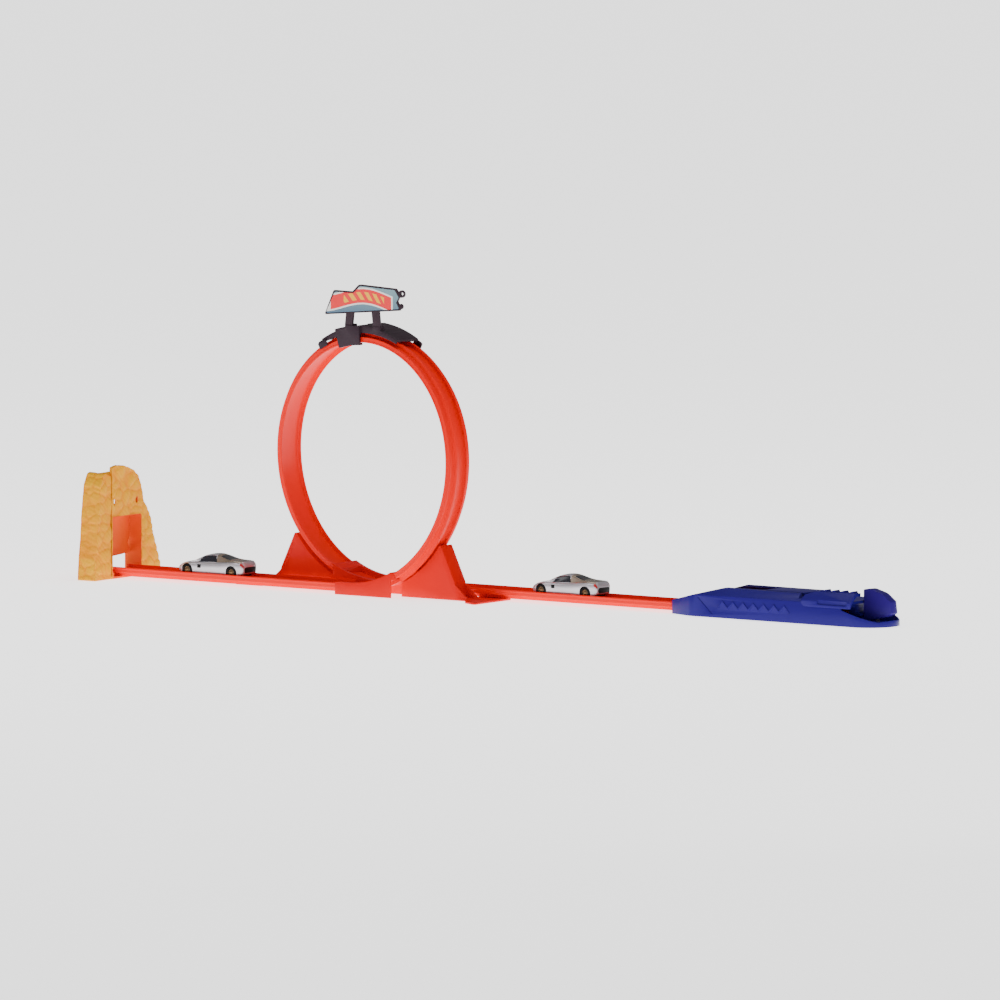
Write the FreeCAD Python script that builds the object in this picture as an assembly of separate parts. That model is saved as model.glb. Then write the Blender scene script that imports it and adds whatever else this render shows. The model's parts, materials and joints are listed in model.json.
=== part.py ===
import FreeCAD, Part
import math
import os

# Toy loop track for free-rolling die-cast cars, in millimetres.
# X runs along the track towards the launcher, Y across it, Z is up.
# The origin is on the ground under the middle of the loop.

# ---------------------------------------------------------------- driving dimensions
TRACK_WIDTH = 38.0          # over the two rails
RAIL_THICK = 2.0
RAIL_BEAD = 0.6             # bead along the outside top of each rail
RAIL_RISE = 4.2             # rail above the running floor
FLOOR_THICK = 2.0
RIB_DEPTH = 4.2             # T-slot ribs under the floor
TRACK_LIFT = 2.2            # underside of the ribs above the ground
LANE_PITCH = 44.4           # between the two lanes' centre lines

LOOP_HALF_LENGTH = 133.6    # semi-axes of the loop's outer surface
LOOP_HALF_HEIGHT = 143.3
STRAND_START = 27.5         # degrees of the loop taken up by each base ramp

BASE_STRAIGHT = 20.0        # flat part of each base lane
BASE_HALF_WIDTH = 45.0
BASE_WALL = 2.2
BASE_RAIL_EXTRA = 1.4       # base side walls above the track's rails
SUPPORT_INNER = 3.0         # faces of the support web
SUPPORT_OUTER = 24.0

GATE_TRACK_LENGTH = 312.0
LAUNCH_TRACK_LENGTH = 395.0
TONGUE_LENGTH = 40.0
FIT_GAP = 0.1               # connector tongue in its slot
PART_GAP = 0.3              # between neighbouring bodies

CLIP_THICK = 9.0
SIGN_THICK = 3.0
LABEL_THICK = 0.3

GATE_DEPTH = 24.0
GATE_WALL = 2.4
DOOR_HEIGHT = 68.5
FLAP_BOTTOM = 22.5
FLAP_TOP = 75.5
FLAP_THICK = 2.2

LAUNCHER_FRONT = 408.0
LAUNCHER_LENGTH = 287.0
LAUNCHER_HALF_WIDTH = 33.2
LAUNCHER_WALL = 2.2
SHELL_SPLIT = 24.4          # seam between launcher base and cover
ROOF_HEIGHT = 32.7
DECK_HEIGHT = 27.5
ROOF_INSET = 10.0           # how far the cover's sides lean in
SLIDE_STROKE = 105.0        # travel of the cocking handle
SLIDE_GAP = 0.4

CAR_LENGTH = 90.0
CAR_WIDTH = 31.0
CAR_HEIGHT = 25.5
WHEEL_BASE = 60.0
WHEEL_RADIUS = 6.4
WHEEL_WIDTH = 5.0
AXLE_RADIUS = 0.8
CAR_GATE_X = -197.0         # car on the gate side
CAR_LAUNCH_X = 254.0        # car on the launcher side

# ---------------------------------------------------------------- worked-out sizes
HALF = TRACK_WIDTH / 2
RAIL_INSIDE = HALF - RAIL_THICK
FLOOR_UNDER = RIB_DEPTH
FLOOR_TOP = RIB_DEPTH + FLOOR_THICK
RAIL_TOP = FLOOR_TOP + RAIL_RISE
SLOT_HALF = 10.0
RIB_THICK = 1.4
LIP_REACH = 2.4
LIP_THICK = 0.8
NEAR_LANE = -LANE_PITCH / 2
FAR_LANE = LANE_PITCH / 2
LOOP_CENTRE_Z = TRACK_LIFT + LOOP_HALF_HEIGHT
RUN_Z = TRACK_LIFT + FLOOR_TOP
LAUNCHER_END = LAUNCHER_FRONT + LAUNCHER_LENGTH

vec = FreeCAD.Vector
NODES = {}


def keep(name, shape):
    """Remember one finished sub-part under its node name."""
    NODES[name] = shape


# ---------------------------------------------------------------- drawing helpers
def point_in(a, b, plane, at):
    """The 3-D point of the plane coordinates (a, b), at one place across it."""
    if plane == "xy":
        return vec(a, b, at)
    if plane == "xz":
        return vec(a, at, b)
    return vec(at, a, b)


def outline(points, plane, at):
    """Closed wire through corners (a, b) or (a, b, radius of the corner)."""
    count = len(points)
    corners = []
    for index in range(count):
        here = points[index]
        last = points[index - 1]
        following = points[(index + 1) % count]
        radius = here[2] if len(here) > 2 else 0.0
        back = vec(last[0] - here[0], last[1] - here[1], 0)
        ahead = vec(following[0] - here[0], following[1] - here[1], 0)
        back.normalize()
        ahead.normalize()
        centre_line = back + ahead
        if radius <= 0 or centre_line.Length < 1e-6:
            corners.append([(here[0], here[1])])
            continue
        centre_line.normalize()
        half_angle = math.acos(max(-1.0, min(1.0, back.dot(ahead)))) / 2
        reach = radius / math.tan(half_angle)
        middle = radius / math.sin(half_angle) - radius
        corners.append([
            (here[0] + back.x * reach, here[1] + back.y * reach),
            (here[0] + centre_line.x * middle, here[1] + centre_line.y * middle),
            (here[0] + ahead.x * reach, here[1] + ahead.y * reach),
        ])
    edges = []
    for index in range(count):
        corner = [point_in(a, b, plane, at) for a, b in corners[index]]
        following = point_in(*corners[(index + 1) % count][0], plane, at)
        if len(corner) == 3:
            edges.append(Part.Arc(*corner).toShape())
        if (following - corner[-1]).Length > 1e-6:
            edges.append(Part.makeLine(corner[-1], following))
    return Part.Wire(edges)


def prism(points, plane, low, high):
    """Solid with one outline, from low to high across its plane."""
    across = point_in(0, 0, plane, high - low)
    return Part.Face(outline(points, plane, low)).extrude(across)


def box(x0, x1, y0, y1, z0, z1):
    return Part.makeBox(x1 - x0, y1 - y0, z1 - z0, vec(x0, y0, z0))


def rod_y(x, z, radius, y0, y1):
    return Part.makeCylinder(radius, y1 - y0, vec(x, y0, z), vec(0, 1, 0))


def rod_z(x, y, radius, z0, z1):
    return Part.makeCylinder(radius, z1 - z0, vec(x, y, z0), vec(0, 0, 1))


def join(shapes):
    """Fuse touching solids into one and drop the seams between them."""
    return shapes[0].multiFuse(shapes[1:]).removeSplitter()


def turned(shape):
    """The same piece half a turn round the upright axis."""
    copy = shape.copy()
    copy.rotate(vec(0, 0, 0), vec(0, 0, 1), 180)
    return copy


# ---------------------------------------------------------------- the loop's path
def loop_frame(degrees):
    """Point on the loop's outer line, and the directions along, across and inward.

    0 is the bottom of the far lane, 180 the top and 360 the bottom of the near lane.
    """
    turn = math.radians(degrees)
    place = vec(-LOOP_HALF_LENGTH * math.sin(turn),
                LANE_PITCH / 2 * math.cos(turn / 2),
                LOOP_CENTRE_Z - LOOP_HALF_HEIGHT * math.cos(turn))
    along = vec(-LOOP_HALF_LENGTH * math.cos(turn),
                -LANE_PITCH / 4 * math.sin(turn / 2),
                LOOP_HALF_HEIGHT * math.sin(turn))
    along.normalize()
    across = vec(0, 1, 0) - along * along.y
    across.normalize()
    return place, along, across, across.cross(along)


def loop_piece(section, start, end, count):
    """Loft of one (across, inward) section along part of the loop."""
    wires = []
    for step in range(count):
        place, _, across, inward = loop_frame(start + (end - start) * step / (count - 1))
        corners = [place + across * u + inward * v for u, v in section]
        wires.append(Part.makePolygon(corners + corners[:1]))
    return Part.makeLoft(wires, True, False)


def loop_angle(x):
    """Degrees from the top or bottom of the loop to the given distance along X."""
    return math.degrees(math.asin(x / LOOP_HALF_LENGTH))


def track_section():
    """Half of the track's section as (across, up), from the slot to the rail's inside."""
    half = [
        (SLOT_HALF, FLOOR_UNDER),
        (SLOT_HALF, LIP_THICK),
        (SLOT_HALF - LIP_REACH, LIP_THICK),
        (SLOT_HALF - LIP_REACH, 0),
        (SLOT_HALF + RIB_THICK, 0),
        (SLOT_HALF + RIB_THICK, FLOOR_UNDER),
        (HALF - RAIL_BEAD, FLOOR_UNDER),
        (HALF - RAIL_BEAD, RAIL_TOP - 2.2),
        (HALF, RAIL_TOP - 1.6),
        (HALF, RAIL_TOP - 0.5),
        (HALF - 0.5, RAIL_TOP),
        (RAIL_INSIDE + 0.5, RAIL_TOP),
        (RAIL_INSIDE, RAIL_TOP - 0.5),
        (RAIL_INSIDE, FLOOR_TOP + 0.8),
        (RAIL_INSIDE - 0.8, FLOOR_TOP),
    ]
    mirrored = [(-u, v) for u, v in reversed(half)]
    return half + mirrored


def straight_track(lane_y, x0, x1):
    placed = [(lane_y + u, TRACK_LIFT + v) for u, v in track_section()]
    return prism(placed, "yz", x0, x1)


def tongue_section():
    top = FLOOR_UNDER - FIT_GAP
    bottom = LIP_THICK + FIT_GAP
    side = SLOT_HALF - FIT_GAP
    return [(-side, bottom), (side, bottom), (side, top), (-side, top)]


def straight_tongue(lane_y, x):
    placed = [(lane_y + u, TRACK_LIFT + v) for u, v in tongue_section()]
    return prism(placed, "yz", x - TONGUE_LENGTH / 2, x + TONGUE_LENGTH / 2)


def loop_tongue(degrees):
    spread = math.degrees(TONGUE_LENGTH / 2 / LOOP_HALF_HEIGHT)
    return loop_piece(tongue_section(), degrees - spread, degrees + spread, 5)


# ---------------------------------------------------------------- track
GATE_TRACK_X1 = -BASE_STRAIGHT - PART_GAP
GATE_TRACK_X0 = GATE_TRACK_X1 - GATE_TRACK_LENGTH
LAUNCH_TRACK_X0 = BASE_STRAIGHT + PART_GAP
LAUNCH_TRACK_X1 = LAUNCH_TRACK_X0 + LAUNCH_TRACK_LENGTH
STRAND_GAP = math.degrees(PART_GAP / LOOP_HALF_HEIGHT)

keep("track_gate_side", straight_track(NEAR_LANE, GATE_TRACK_X0, GATE_TRACK_X1))
keep("track_launcher_side", straight_track(FAR_LANE, LAUNCH_TRACK_X0, LAUNCH_TRACK_X1))
keep("loop_strand_up", loop_piece(track_section(), STRAND_START, 180 - STRAND_GAP, 13))
keep("loop_strand_down", loop_piece(track_section(), 180 + STRAND_GAP, 360 - STRAND_START, 13))
keep("tongue_base_gate_side", straight_tongue(NEAR_LANE, -BASE_STRAIGHT))
keep("tongue_base_launcher_side", straight_tongue(FAR_LANE, BASE_STRAIGHT))
keep("tongue_strand_up", loop_tongue(STRAND_START))
keep("tongue_strand_down", loop_tongue(360 - STRAND_START))
keep("tongue_loop_top", loop_tongue(180))
keep("tongue_launcher", straight_tongue(FAR_LANE, LAUNCH_TRACK_X1))


# ---------------------------------------------------------------- loop base
def ramp_curve(inward, x_start, x_end, y):
    """Edge that runs level and then follows the near lane's curve, at a depth inward."""
    level = TRACK_LIFT + inward
    curve_points = []
    for step in range(9):
        degrees = 360 - x_end * step / 8
        place, _, _, normal = loop_frame(degrees)
        flat = vec(normal.x, 0, normal.z)
        flat.normalize()
        curve_points.append(vec(place.x + flat.x * inward, y, place.z + flat.z * inward))
    bend = Part.BSplineCurve()
    bend.interpolate(curve_points)
    start = vec(x_start, y, level)
    edges = [bend.toShape()]
    if x_start < 0:
        edges.insert(0, Part.makeLine(start, curve_points[0]))
    return edges, start if x_start < 0 else curve_points[0], curve_points[-1]


def ramp_solid(inward, x_start, degrees, y0, y1, bottom):
    """Everything under the ramp's curve, down to the bottom."""
    edges, start, end = ramp_curve(inward, x_start, degrees, y0)
    low_end = vec(end.x, y0, bottom)
    low_start = vec(start.x, y0, bottom)
    edges = edges + [Part.makeLine(end, low_end), Part.makeLine(low_end, low_start),
                     Part.makeLine(low_start, start)]
    return Part.Face(Part.Wire(edges)).extrude(vec(0, y1 - y0, 0))


RAMP_END = STRAND_START - STRAND_GAP
BASE_RAIL_TOP = RAIL_TOP + BASE_RAIL_EXTRA


def base_lane():
    """Near lane of the base: side walls, running floor and the hollow underneath."""
    body = ramp_solid(BASE_RAIL_TOP, -BASE_STRAIGHT, RAMP_END, -BASE_HALF_WIDTH, 0, 0)
    channel_low = NEAR_LANE - RAIL_INSIDE
    channel_high = NEAR_LANE + RAIL_INSIDE
    reach = -BASE_STRAIGHT - 1
    over = ramp_solid(BASE_RAIL_TOP + 30, reach, RAMP_END + 3, channel_low, channel_high, -1)
    over = over.cut(ramp_solid(FLOOR_TOP, reach - 1, RAMP_END + 3,
                               channel_low - 1, channel_high + 1, -2))
    body = body.cut(over)
    hollow = ramp_solid(FLOOR_UNDER - 0.1, -BASE_STRAIGHT + BASE_WALL, RAMP_END - 1.0,
                        -BASE_HALF_WIDTH + BASE_WALL, -BASE_WALL, -1)
    body = body.cut(hollow)
    slot_half = SLOT_HALF + FIT_GAP
    slot_low = TRACK_LIFT + LIP_THICK
    slot_high = TRACK_LIFT + FLOOR_UNDER
    entry = box(-BASE_STRAIGHT - 1, -BASE_STRAIGHT + BASE_WALL + 1,
                NEAR_LANE - slot_half, NEAR_LANE + slot_half, slot_low, slot_high)
    slot = [(-slot_half, LIP_THICK), (slot_half, LIP_THICK),
            (slot_half, FLOOR_UNDER), (-slot_half, FLOOR_UNDER)]
    exit_slot = loop_piece(slot, 360 - RAMP_END - 1.5, 360 - RAMP_END + 9, 4)
    return body.cut(entry).cut(exit_slot)


lane = base_lane()
keep("base_core", join([lane, turned(lane)]))

RAMP_TOP_PLACE, _, _, RAMP_NORMAL = loop_frame(360 - RAMP_END)
BASE_END_X = RAMP_TOP_PLACE.x + RAMP_NORMAL.x * BASE_RAIL_TOP
SUPPORT_X0 = BASE_END_X + PART_GAP
SUPPORT_APEX_X = 107.0
SUPPORT_TOP_X = 109.5
SUPPORT_KNEE_X = 128.0
SUPPORT_KNEE_Z = 20.0
SUPPORT_FOOT_X = 132.0
FOOT_THICK = 2.2
FOOT_END_X = 176.0


def under_loop(x, clear):
    """Height of the loop's outer surface over a place on X, less a clearance."""
    share = math.sqrt(1 - (x / LOOP_HALF_LENGTH) ** 2)
    return LOOP_CENTRE_Z - LOOP_HALF_HEIGHT * share - clear


def support_outline(inset, y):
    """Side view of a support web: it follows the loop, then slopes to the foot."""
    clear = PART_GAP + inset * 1.3
    x0 = SUPPORT_X0 + inset
    curve = Part.BSplineCurve()
    apex = SUPPORT_APEX_X - inset * 0.4
    spots = [x0 + (apex - x0) * step / 7 for step in range(8)]
    curve.interpolate([vec(x, y, under_loop(x, clear)) for x in spots])
    base_z = -1.0 if inset else 0.0
    corners = [
        vec(apex, y, under_loop(apex, clear)),
        vec(SUPPORT_TOP_X - inset, y, under_loop(apex, clear)),
        vec(SUPPORT_KNEE_X - inset, y, SUPPORT_KNEE_Z),
        vec(SUPPORT_FOOT_X - inset, y, base_z),
        vec(x0, y, base_z),
        vec(x0, y, under_loop(x0, clear)),
    ]
    lines = [Part.makeLine(corners[i], corners[i + 1]) for i in range(len(corners) - 1)]
    return Part.Face(Part.Wire([curve.toShape()] + lines))


def loop_support():
    """Near support: hollow web, its foot plate and the gussets between them."""
    depth = SUPPORT_OUTER - SUPPORT_INNER
    web = support_outline(0, -SUPPORT_OUTER).extrude(vec(0, depth, 0))
    hollow = support_outline(BASE_WALL, -SUPPORT_OUTER + BASE_WALL)
    web = web.cut(hollow.extrude(vec(0, depth - 2 * BASE_WALL, 0)))
    top_z = under_loop(SUPPORT_APEX_X, PART_GAP)
    low_z = SUPPORT_KNEE_Z + 2
    high_z = top_z - 10
    slope = (SUPPORT_KNEE_X - SUPPORT_TOP_X) / (top_z - SUPPORT_KNEE_Z)
    low_x = SUPPORT_KNEE_X - 2 * slope - 2.4
    high_x = SUPPORT_TOP_X + 10 * slope - 2.4
    strip = prism([(high_x - 5, high_z), (high_x, high_z), (low_x, low_z), (low_x - 5, low_z)],
                  "xz", -SUPPORT_INNER - 0.9, -SUPPORT_INNER + 1)
    web = web.cut(strip)
    plate = prism([(SUPPORT_FOOT_X - 3, -SUPPORT_OUTER), (145, -25, 2), (157, -44, 3),
                   (FOOT_END_X - 2, -52, 3), (FOOT_END_X, -50, 1),
                   (FOOT_END_X, FAR_LANE - 4, 3), (SUPPORT_FOOT_X + 8, FAR_LANE - 4, 3),
                   (SUPPORT_FOOT_X - 3, -SUPPORT_INNER)], "xy", 0, FOOT_THICK - 0.1)
    pieces = [web, plate]
    for y in (-SUPPORT_OUTER, -SUPPORT_INNER - BASE_WALL):
        gusset = prism([(SUPPORT_FOOT_X - 6, 0.5), (SUPPORT_KNEE_X + 0.2, SUPPORT_KNEE_Z - 2),
                        (SUPPORT_FOOT_X + 16, 0.5)], "xz", y, y + BASE_WALL)
        pieces.append(gusset)
    return join(pieces)


support = loop_support()
keep("support_launcher_side", support)
keep("support_gate_side", turned(support))

# ---------------------------------------------------------------- top clip and sign
CLIP_REACH_GATE = 57.0      # the arch's reach each side of the loop's top
CLIP_REACH_LAUNCH = 48.0
CLIP_END_THICK = 4.6
CLIP_HALF = HALF - 0.4
CLIP_SKIN = 2.6
HOOK_WALL = 2.6
HOOK_LIP = 2.5
HOOK_START = 0.7 - CLIP_THICK
HOOK_END = -1.2
POST_X = 19.0               # the sign's two posts
POST_HALF = 5.0
SIGN_Y = -19.0
POST_FOOT_Z = TRACK_LIFT + 2 * LOOP_HALF_HEIGHT + CLIP_THICK + 0.4
SIGN_CORNERS = [(-52, 307, 1.5), (-39.5, 334.8, 2), (-14, 334.6, 3), (-5, 343, 5),
                (45.5, 341, 2), (51, 333, 1), (47.5, 327, 1), (52, 317, 1.5)]


def hook_section(side):
    """Hook that reaches down past a rail and in over its top."""
    inner = HALF + SLIDE_GAP
    outer = inner + HOOK_WALL
    corners = [
        (CLIP_HALF - 1, HOOK_START),
        (outer, HOOK_START),
        (outer, RAIL_TOP + SLIDE_GAP + HOOK_LIP),
        (RAIL_INSIDE - 0.8, RAIL_TOP + SLIDE_GAP + HOOK_LIP),
        (RAIL_INSIDE - 0.8, RAIL_TOP + SLIDE_GAP),
        (inner, RAIL_TOP + SLIDE_GAP),
        (inner, HOOK_END),
        (CLIP_HALF - 1, HOOK_END),
    ]
    return [(side * u, v) for u, v in corners]


def clip_arch(swing):
    """One arm of the arch, a hollow channel that grows thinner towards its end."""
    wires = []
    inside = CLIP_HALF - CLIP_SKIN
    for step in range(6):
        share = step / 5
        thick = CLIP_THICK + (CLIP_END_THICK - CLIP_THICK) * share
        roof = CLIP_SKIN - thick
        section = [(-CLIP_HALF, -PART_GAP), (-CLIP_HALF, -thick), (CLIP_HALF, -thick),
                   (CLIP_HALF, -PART_GAP), (inside, -PART_GAP), (inside, roof),
                   (-inside, roof), (-inside, -PART_GAP)]
        place, _, across, inward = loop_frame(180 + swing * share)
        corners = [place + across * u + inward * v for u, v in section]
        wires.append(Part.makePolygon(corners + corners[:1]))
    return Part.makeLoft(wires, True, False)


def top_clip():
    """Arch over the loop's outer top, with hooks on both rails and end feet."""
    gate_swing = loop_angle(CLIP_REACH_GATE)
    launch_swing = loop_angle(CLIP_REACH_LAUNCH)
    pieces = [clip_arch(-gate_swing), clip_arch(launch_swing)]
    pieces.append(loop_piece(hook_section(-1), 180 - loop_angle(35), 180 - loop_angle(2), 4))
    pieces.append(loop_piece(hook_section(1), 180 - loop_angle(22), 180 - loop_angle(9), 3))
    for middle, edge in ((180 - gate_swing, -1), (180 - gate_swing, 1), (180 + launch_swing, 1)):
        foot = [(edge * (CLIP_HALF - 1), 0.8 - CLIP_END_THICK), (edge * (CLIP_HALF + 2.2), -1.4),
                (edge * (CLIP_HALF + 2.2), 5), (edge * (HALF + SLIDE_GAP), 5),
                (edge * (HALF + SLIDE_GAP), HOOK_END), (edge * (CLIP_HALF - 1), HOOK_END)]
        pieces.append(loop_piece(foot, middle - 2.6, middle + 2.6, 3))
    for x in (-POST_X, POST_X):
        ear = box(x - POST_HALF, x + POST_HALF, SIGN_Y - 1.5, SIGN_Y + 8,
                  POST_FOOT_Z - 7, POST_FOOT_Z)
        pieces.append(ear)
    return join(pieces)


keep("top_clip", top_clip())


def sign_outline(inset):
    """The sign's corners, moved towards its middle by an inset."""
    middle_x = 0.0
    middle_z = 325.0
    moved = []
    for x, z, radius in SIGN_CORNERS:
        new_x = x - math.copysign(inset, x - middle_x)
        new_z = z - math.copysign(inset, z - middle_z)
        moved.append((new_x, new_z, radius))
    return moved


def sign_plate():
    """Flat sign with two posts below it and small cog-like shapes at one end."""
    low = SIGN_Y - SIGN_THICK / 2
    high = SIGN_Y + SIGN_THICK / 2
    pieces = [prism(sign_outline(0), "xz", low, high)]
    for x in (-POST_X, POST_X):
        lean = math.copysign(2.0, x)
        post = prism([(x - POST_HALF, POST_FOOT_Z), (x + POST_HALF, POST_FOOT_Z),
                      (x + POST_HALF - lean, 316), (x - POST_HALF - lean, 316)],
                     "xz", low, high)
        pieces.append(post)
    ring = rod_y(53.0, 335.5, 4.2, low, high)
    pieces.append(ring)
    pieces.append(rod_y(51.6, 321.5, 3.0, low, high))
    plate = join(pieces)
    plate = plate.cut(rod_y(53.8, 335.7, 1.9, low - 1, high + 1))
    rebate = prism(sign_outline(1.6), "xz", low - 1, low + LABEL_THICK)
    return plate.cut(rebate)


keep("sign_plate", sign_plate())
keep("sign_label", prism(sign_outline(1.7), "xz", SIGN_Y - SIGN_THICK / 2,
                         SIGN_Y - SIGN_THICK / 2 + LABEL_THICK))

# ---------------------------------------------------------------- rock gate
GATE_FRONT = -318.0
GATE_BACK = GATE_FRONT - GATE_DEPTH
GATE_SEAM = -53.0
DOOR_NEAR = GATE_SEAM + 0.1 + GATE_WALL
DOOR_FAR = NEAR_LANE + 25.2
ROCK_NEAR = [(-86, 0), (-84.5, 24), (-81, 47), (-79.5, 70), (-77, 88), (-74.5, 106, 3),
             (-68, 118, 4), (-61, 119.5, 4), (GATE_SEAM, 114.5), (GATE_SEAM, 0)]
ROCK_FAR = [(GATE_SEAM + 0.1, 0), (GATE_SEAM + 0.1, 124.5, 2), (-42, 126.3, 4), (-27, 125, 4),
            (-9.5, 118.4, 4), (-0.6, 111.8, 3), (6, 97, 3), (9.6, 83, 3), (20.2, 66, 3),
            (25, 50.6, 3), (31.2, 33.4, 3), (39, 10.6), (41, 0)]
PARAPET_Z = 116.5           # above this height the rock is only a front wall
PARAPET_THICK = 5.0
FLAP_X = GATE_BACK + 7.0
FLAP_PIN_RADIUS = 1.2
FLAP_PIN_Z = FLAP_TOP - 1.5
FLAP_EYE = 2.6
FLAP_FAR_GAP = 1.6


def gate_near_shell():
    """Near part of the rock, a hollow shell that is open at the back and below."""
    solid = prism(ROCK_NEAR, "yz", GATE_BACK, GATE_FRONT)
    inner = [(-86 + GATE_WALL, -1), (-84.5 + GATE_WALL, 24), (-81 + GATE_WALL, 47),
             (-79.5 + GATE_WALL, 70), (-77 + GATE_WALL, 88), (-74.5 + GATE_WALL, 104),
             (-67, 115), (-61.5, 116.8), (GATE_SEAM - GATE_WALL, 112.5),
             (GATE_SEAM - GATE_WALL, -1)]
    return solid.cut(prism(inner, "yz", GATE_BACK - 1, GATE_FRONT - GATE_WALL))


def gate_main_shell():
    """Main part of the rock, with the doorway, its tunnel walls and two wall slots."""
    solid = prism(ROCK_FAR, "yz", GATE_BACK, GATE_FRONT)
    wall = GATE_WALL
    right = [(DOOR_FAR + wall, -1), (DOOR_FAR + wall, 76), (9.6, 76), (18.2, 63),
             (22.5, 48), (28.5, 31), (36.5, 10), (38.4, -1)]
    roof = PARAPET_Z - wall
    upper = [(GATE_SEAM + wall, FLAP_TOP + 5), (GATE_SEAM + wall, roof), (-8, roof),
             (-2.8, 110), (3.3, 96.5), (6.6, 84), (DOOR_FAR - 1, FLAP_TOP + 5)]
    for pocket in (right, upper):
        solid = solid.cut(prism(pocket, "yz", GATE_BACK - 1, GATE_FRONT - wall))
    door = box(GATE_BACK - 1, GATE_FRONT + 1, DOOR_NEAR, DOOR_FAR, -1, DOOR_HEIGHT)
    bay = box(GATE_BACK - 1, FLAP_X + FLAP_THICK + 1.5, DOOR_NEAR, DOOR_FAR,
              DOOR_HEIGHT - 1, FLAP_TOP + 2.4)
    solid = solid.cut(door).cut(bay)
    solid = solid.cut(box(GATE_BACK - 1, GATE_FRONT - PARAPET_THICK, GATE_SEAM - 1,
                          DOOR_FAR, PARAPET_Z, PARAPET_Z + 20))
    for y in (GATE_SEAM + 5.5, DOOR_FAR - 8.0):
        solid = solid.cut(box(GATE_FRONT - wall - 1, GATE_FRONT + 1, y - 1.3, y + 1.3,
                              FLAP_TOP + 6, FLAP_TOP + 13))
    pin_hole = rod_y(FLAP_X, FLAP_PIN_Z, FLAP_PIN_RADIUS, DOOR_NEAR - wall - 1,
                     DOOR_FAR + wall + 1)
    return solid.cut(pin_hole)


def gate_flap():
    """Back panel that hangs from a pin and swings away when a car drives through."""
    low = DOOR_NEAR + 0.6
    high = DOOR_FAR - FLAP_FAR_GAP
    corners = [(low, FLAP_BOTTOM + 1), (low + 12, FLAP_BOTTOM, 2), (high - 14, FLAP_BOTTOM + 1.5, 2),
               (high, FLAP_BOTTOM + 3, 1), (high, 30), (high - 3.6, 36), (high, 43),
               (high, FLAP_PIN_Z - 12), (high - 4.5, FLAP_PIN_Z), (low, FLAP_PIN_Z)]
    panel = prism(corners, "yz", FLAP_X - FLAP_THICK / 2, FLAP_X + FLAP_THICK / 2)
    eye = rod_y(FLAP_X, FLAP_PIN_Z, FLAP_EYE, low, high - 4.5)
    bore = rod_y(FLAP_X, FLAP_PIN_Z, FLAP_PIN_RADIUS + 0.06, low - 1, high + 1)
    return join([panel, eye]).cut(bore)


def gate_foot():
    """Floor plate between the rock's columns, with side lugs and an end stop."""
    low = DOOR_NEAR + PART_GAP
    high = DOOR_FAR - PART_GAP
    plate = box(GATE_BACK + 2, GATE_FRONT - 1, low, high, 0, TRACK_LIFT - 0.1)
    pieces = [plate]
    for side in (low, high - 2):
        pieces.append(box(GATE_BACK + 2, GATE_FRONT - 1, side, side + 2, 0, 7))
    end = GATE_TRACK_X0 - PART_GAP
    pieces.append(box(GATE_BACK + 2, end, NEAR_LANE - RAIL_INSIDE, NEAR_LANE + RAIL_INSIDE, 0, RUN_Z - 1))
    foot = join(pieces)
    slot = box(GATE_BACK + 1, end + 1, NEAR_LANE - SLOT_HALF - FIT_GAP,
               NEAR_LANE + SLOT_HALF + FIT_GAP, TRACK_LIFT + LIP_THICK, TRACK_LIFT + FLOOR_UNDER)
    return foot.cut(slot)


def gate_tongue():
    """Connector held by the gate's foot, reaching into the end of the track."""
    placed = [(NEAR_LANE + u, TRACK_LIFT + v) for u, v in tongue_section()]
    return prism(placed, "yz", GATE_BACK + 3, GATE_TRACK_X0 + TONGUE_LENGTH / 2)


keep("tongue_gate", gate_tongue())
keep("gate_near_shell", gate_near_shell())
keep("gate_main_shell", gate_main_shell())
keep("gate_flap", gate_flap())
keep("gate_flap_pin", rod_y(FLAP_X, FLAP_PIN_Z, FLAP_PIN_RADIUS, DOOR_NEAR - GATE_WALL,
                            DOOR_FAR + GATE_WALL))
keep("gate_foot", gate_foot())

# ---------------------------------------------------------------- launcher
BODY_LOW = FAR_LANE - LAUNCHER_HALF_WIDTH
BODY_HIGH = FAR_LANE + LAUNCHER_HALF_WIDTH
MOUTH_HALF = HALF + 3.2
FLARE_X = LAUNCHER_FRONT + 32.0
NOSE_X = LAUNCHER_FRONT + 72.0
SEAM_X = LAUNCHER_FRONT + 38.0
MOUTH_HEIGHT = 15.0
ROOF_END = LAUNCHER_FRONT + 176.0
BAY_END = LAUNCHER_FRONT + 122.0        # a car is set down through the open bay
BAY_HALF = CAR_WIDTH / 2 + 1.0
DECK_END = LAUNCHER_FRONT + 249.0
WALL_DROP = LAUNCHER_FRONT + 235.0
TAIL_ROUND = 33.0
LANE_END = LAUNCHER_FRONT + 224.0
PIVOT_X = LAUNCHER_FRONT + 232.0
PIVOT_Z = 6.0
PIVOT_RADIUS = 1.5
PUSHER_X = PIVOT_X
PUSHER_LONG = 10.0
ANCHOR_X = LAUNCHER_FRONT + 50.0
BAND_OFFSET = HALF + 4.1
BAND_Z = 22.5
BAND_SIZE = 3.0
BOSS_OFFSET = HALF + 9.2
BOSS_RADIUS = 2.6
SPRING_X = PIVOT_X + 32.0
SPRING_RADIUS = 2.9
BOSS_XS = (LAUNCHER_FRONT + 82.0, LAUNCHER_FRONT + 205.0)
SCREW_RADIUS = 1.2
SCREW_HEAD = 2.1
SCREW_SEAT = 1.4
WEB_LOW = BODY_LOW + 13.0
WEB_HIGH = WEB_LOW + 4.0
HANDLE_X0 = LAUNCHER_FRONT + 186.0
HANDLE_X1 = LAUNCHER_FRONT + 253.0
HANDLE_BOTTOM = 20.0
HANDLE_SKIN = 2.2
HANDLE_TOP = 36.6
HANDLE_INNER = BODY_LOW + 17.4
LEVER_HALF = 6.0
EAR_OFFSET = 8.7
CHEVRON_START = LAUNCHER_FRONT + 70.0
CHEVRON_PITCH = 14.0
CHEVRON_COUNT = 7


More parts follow.
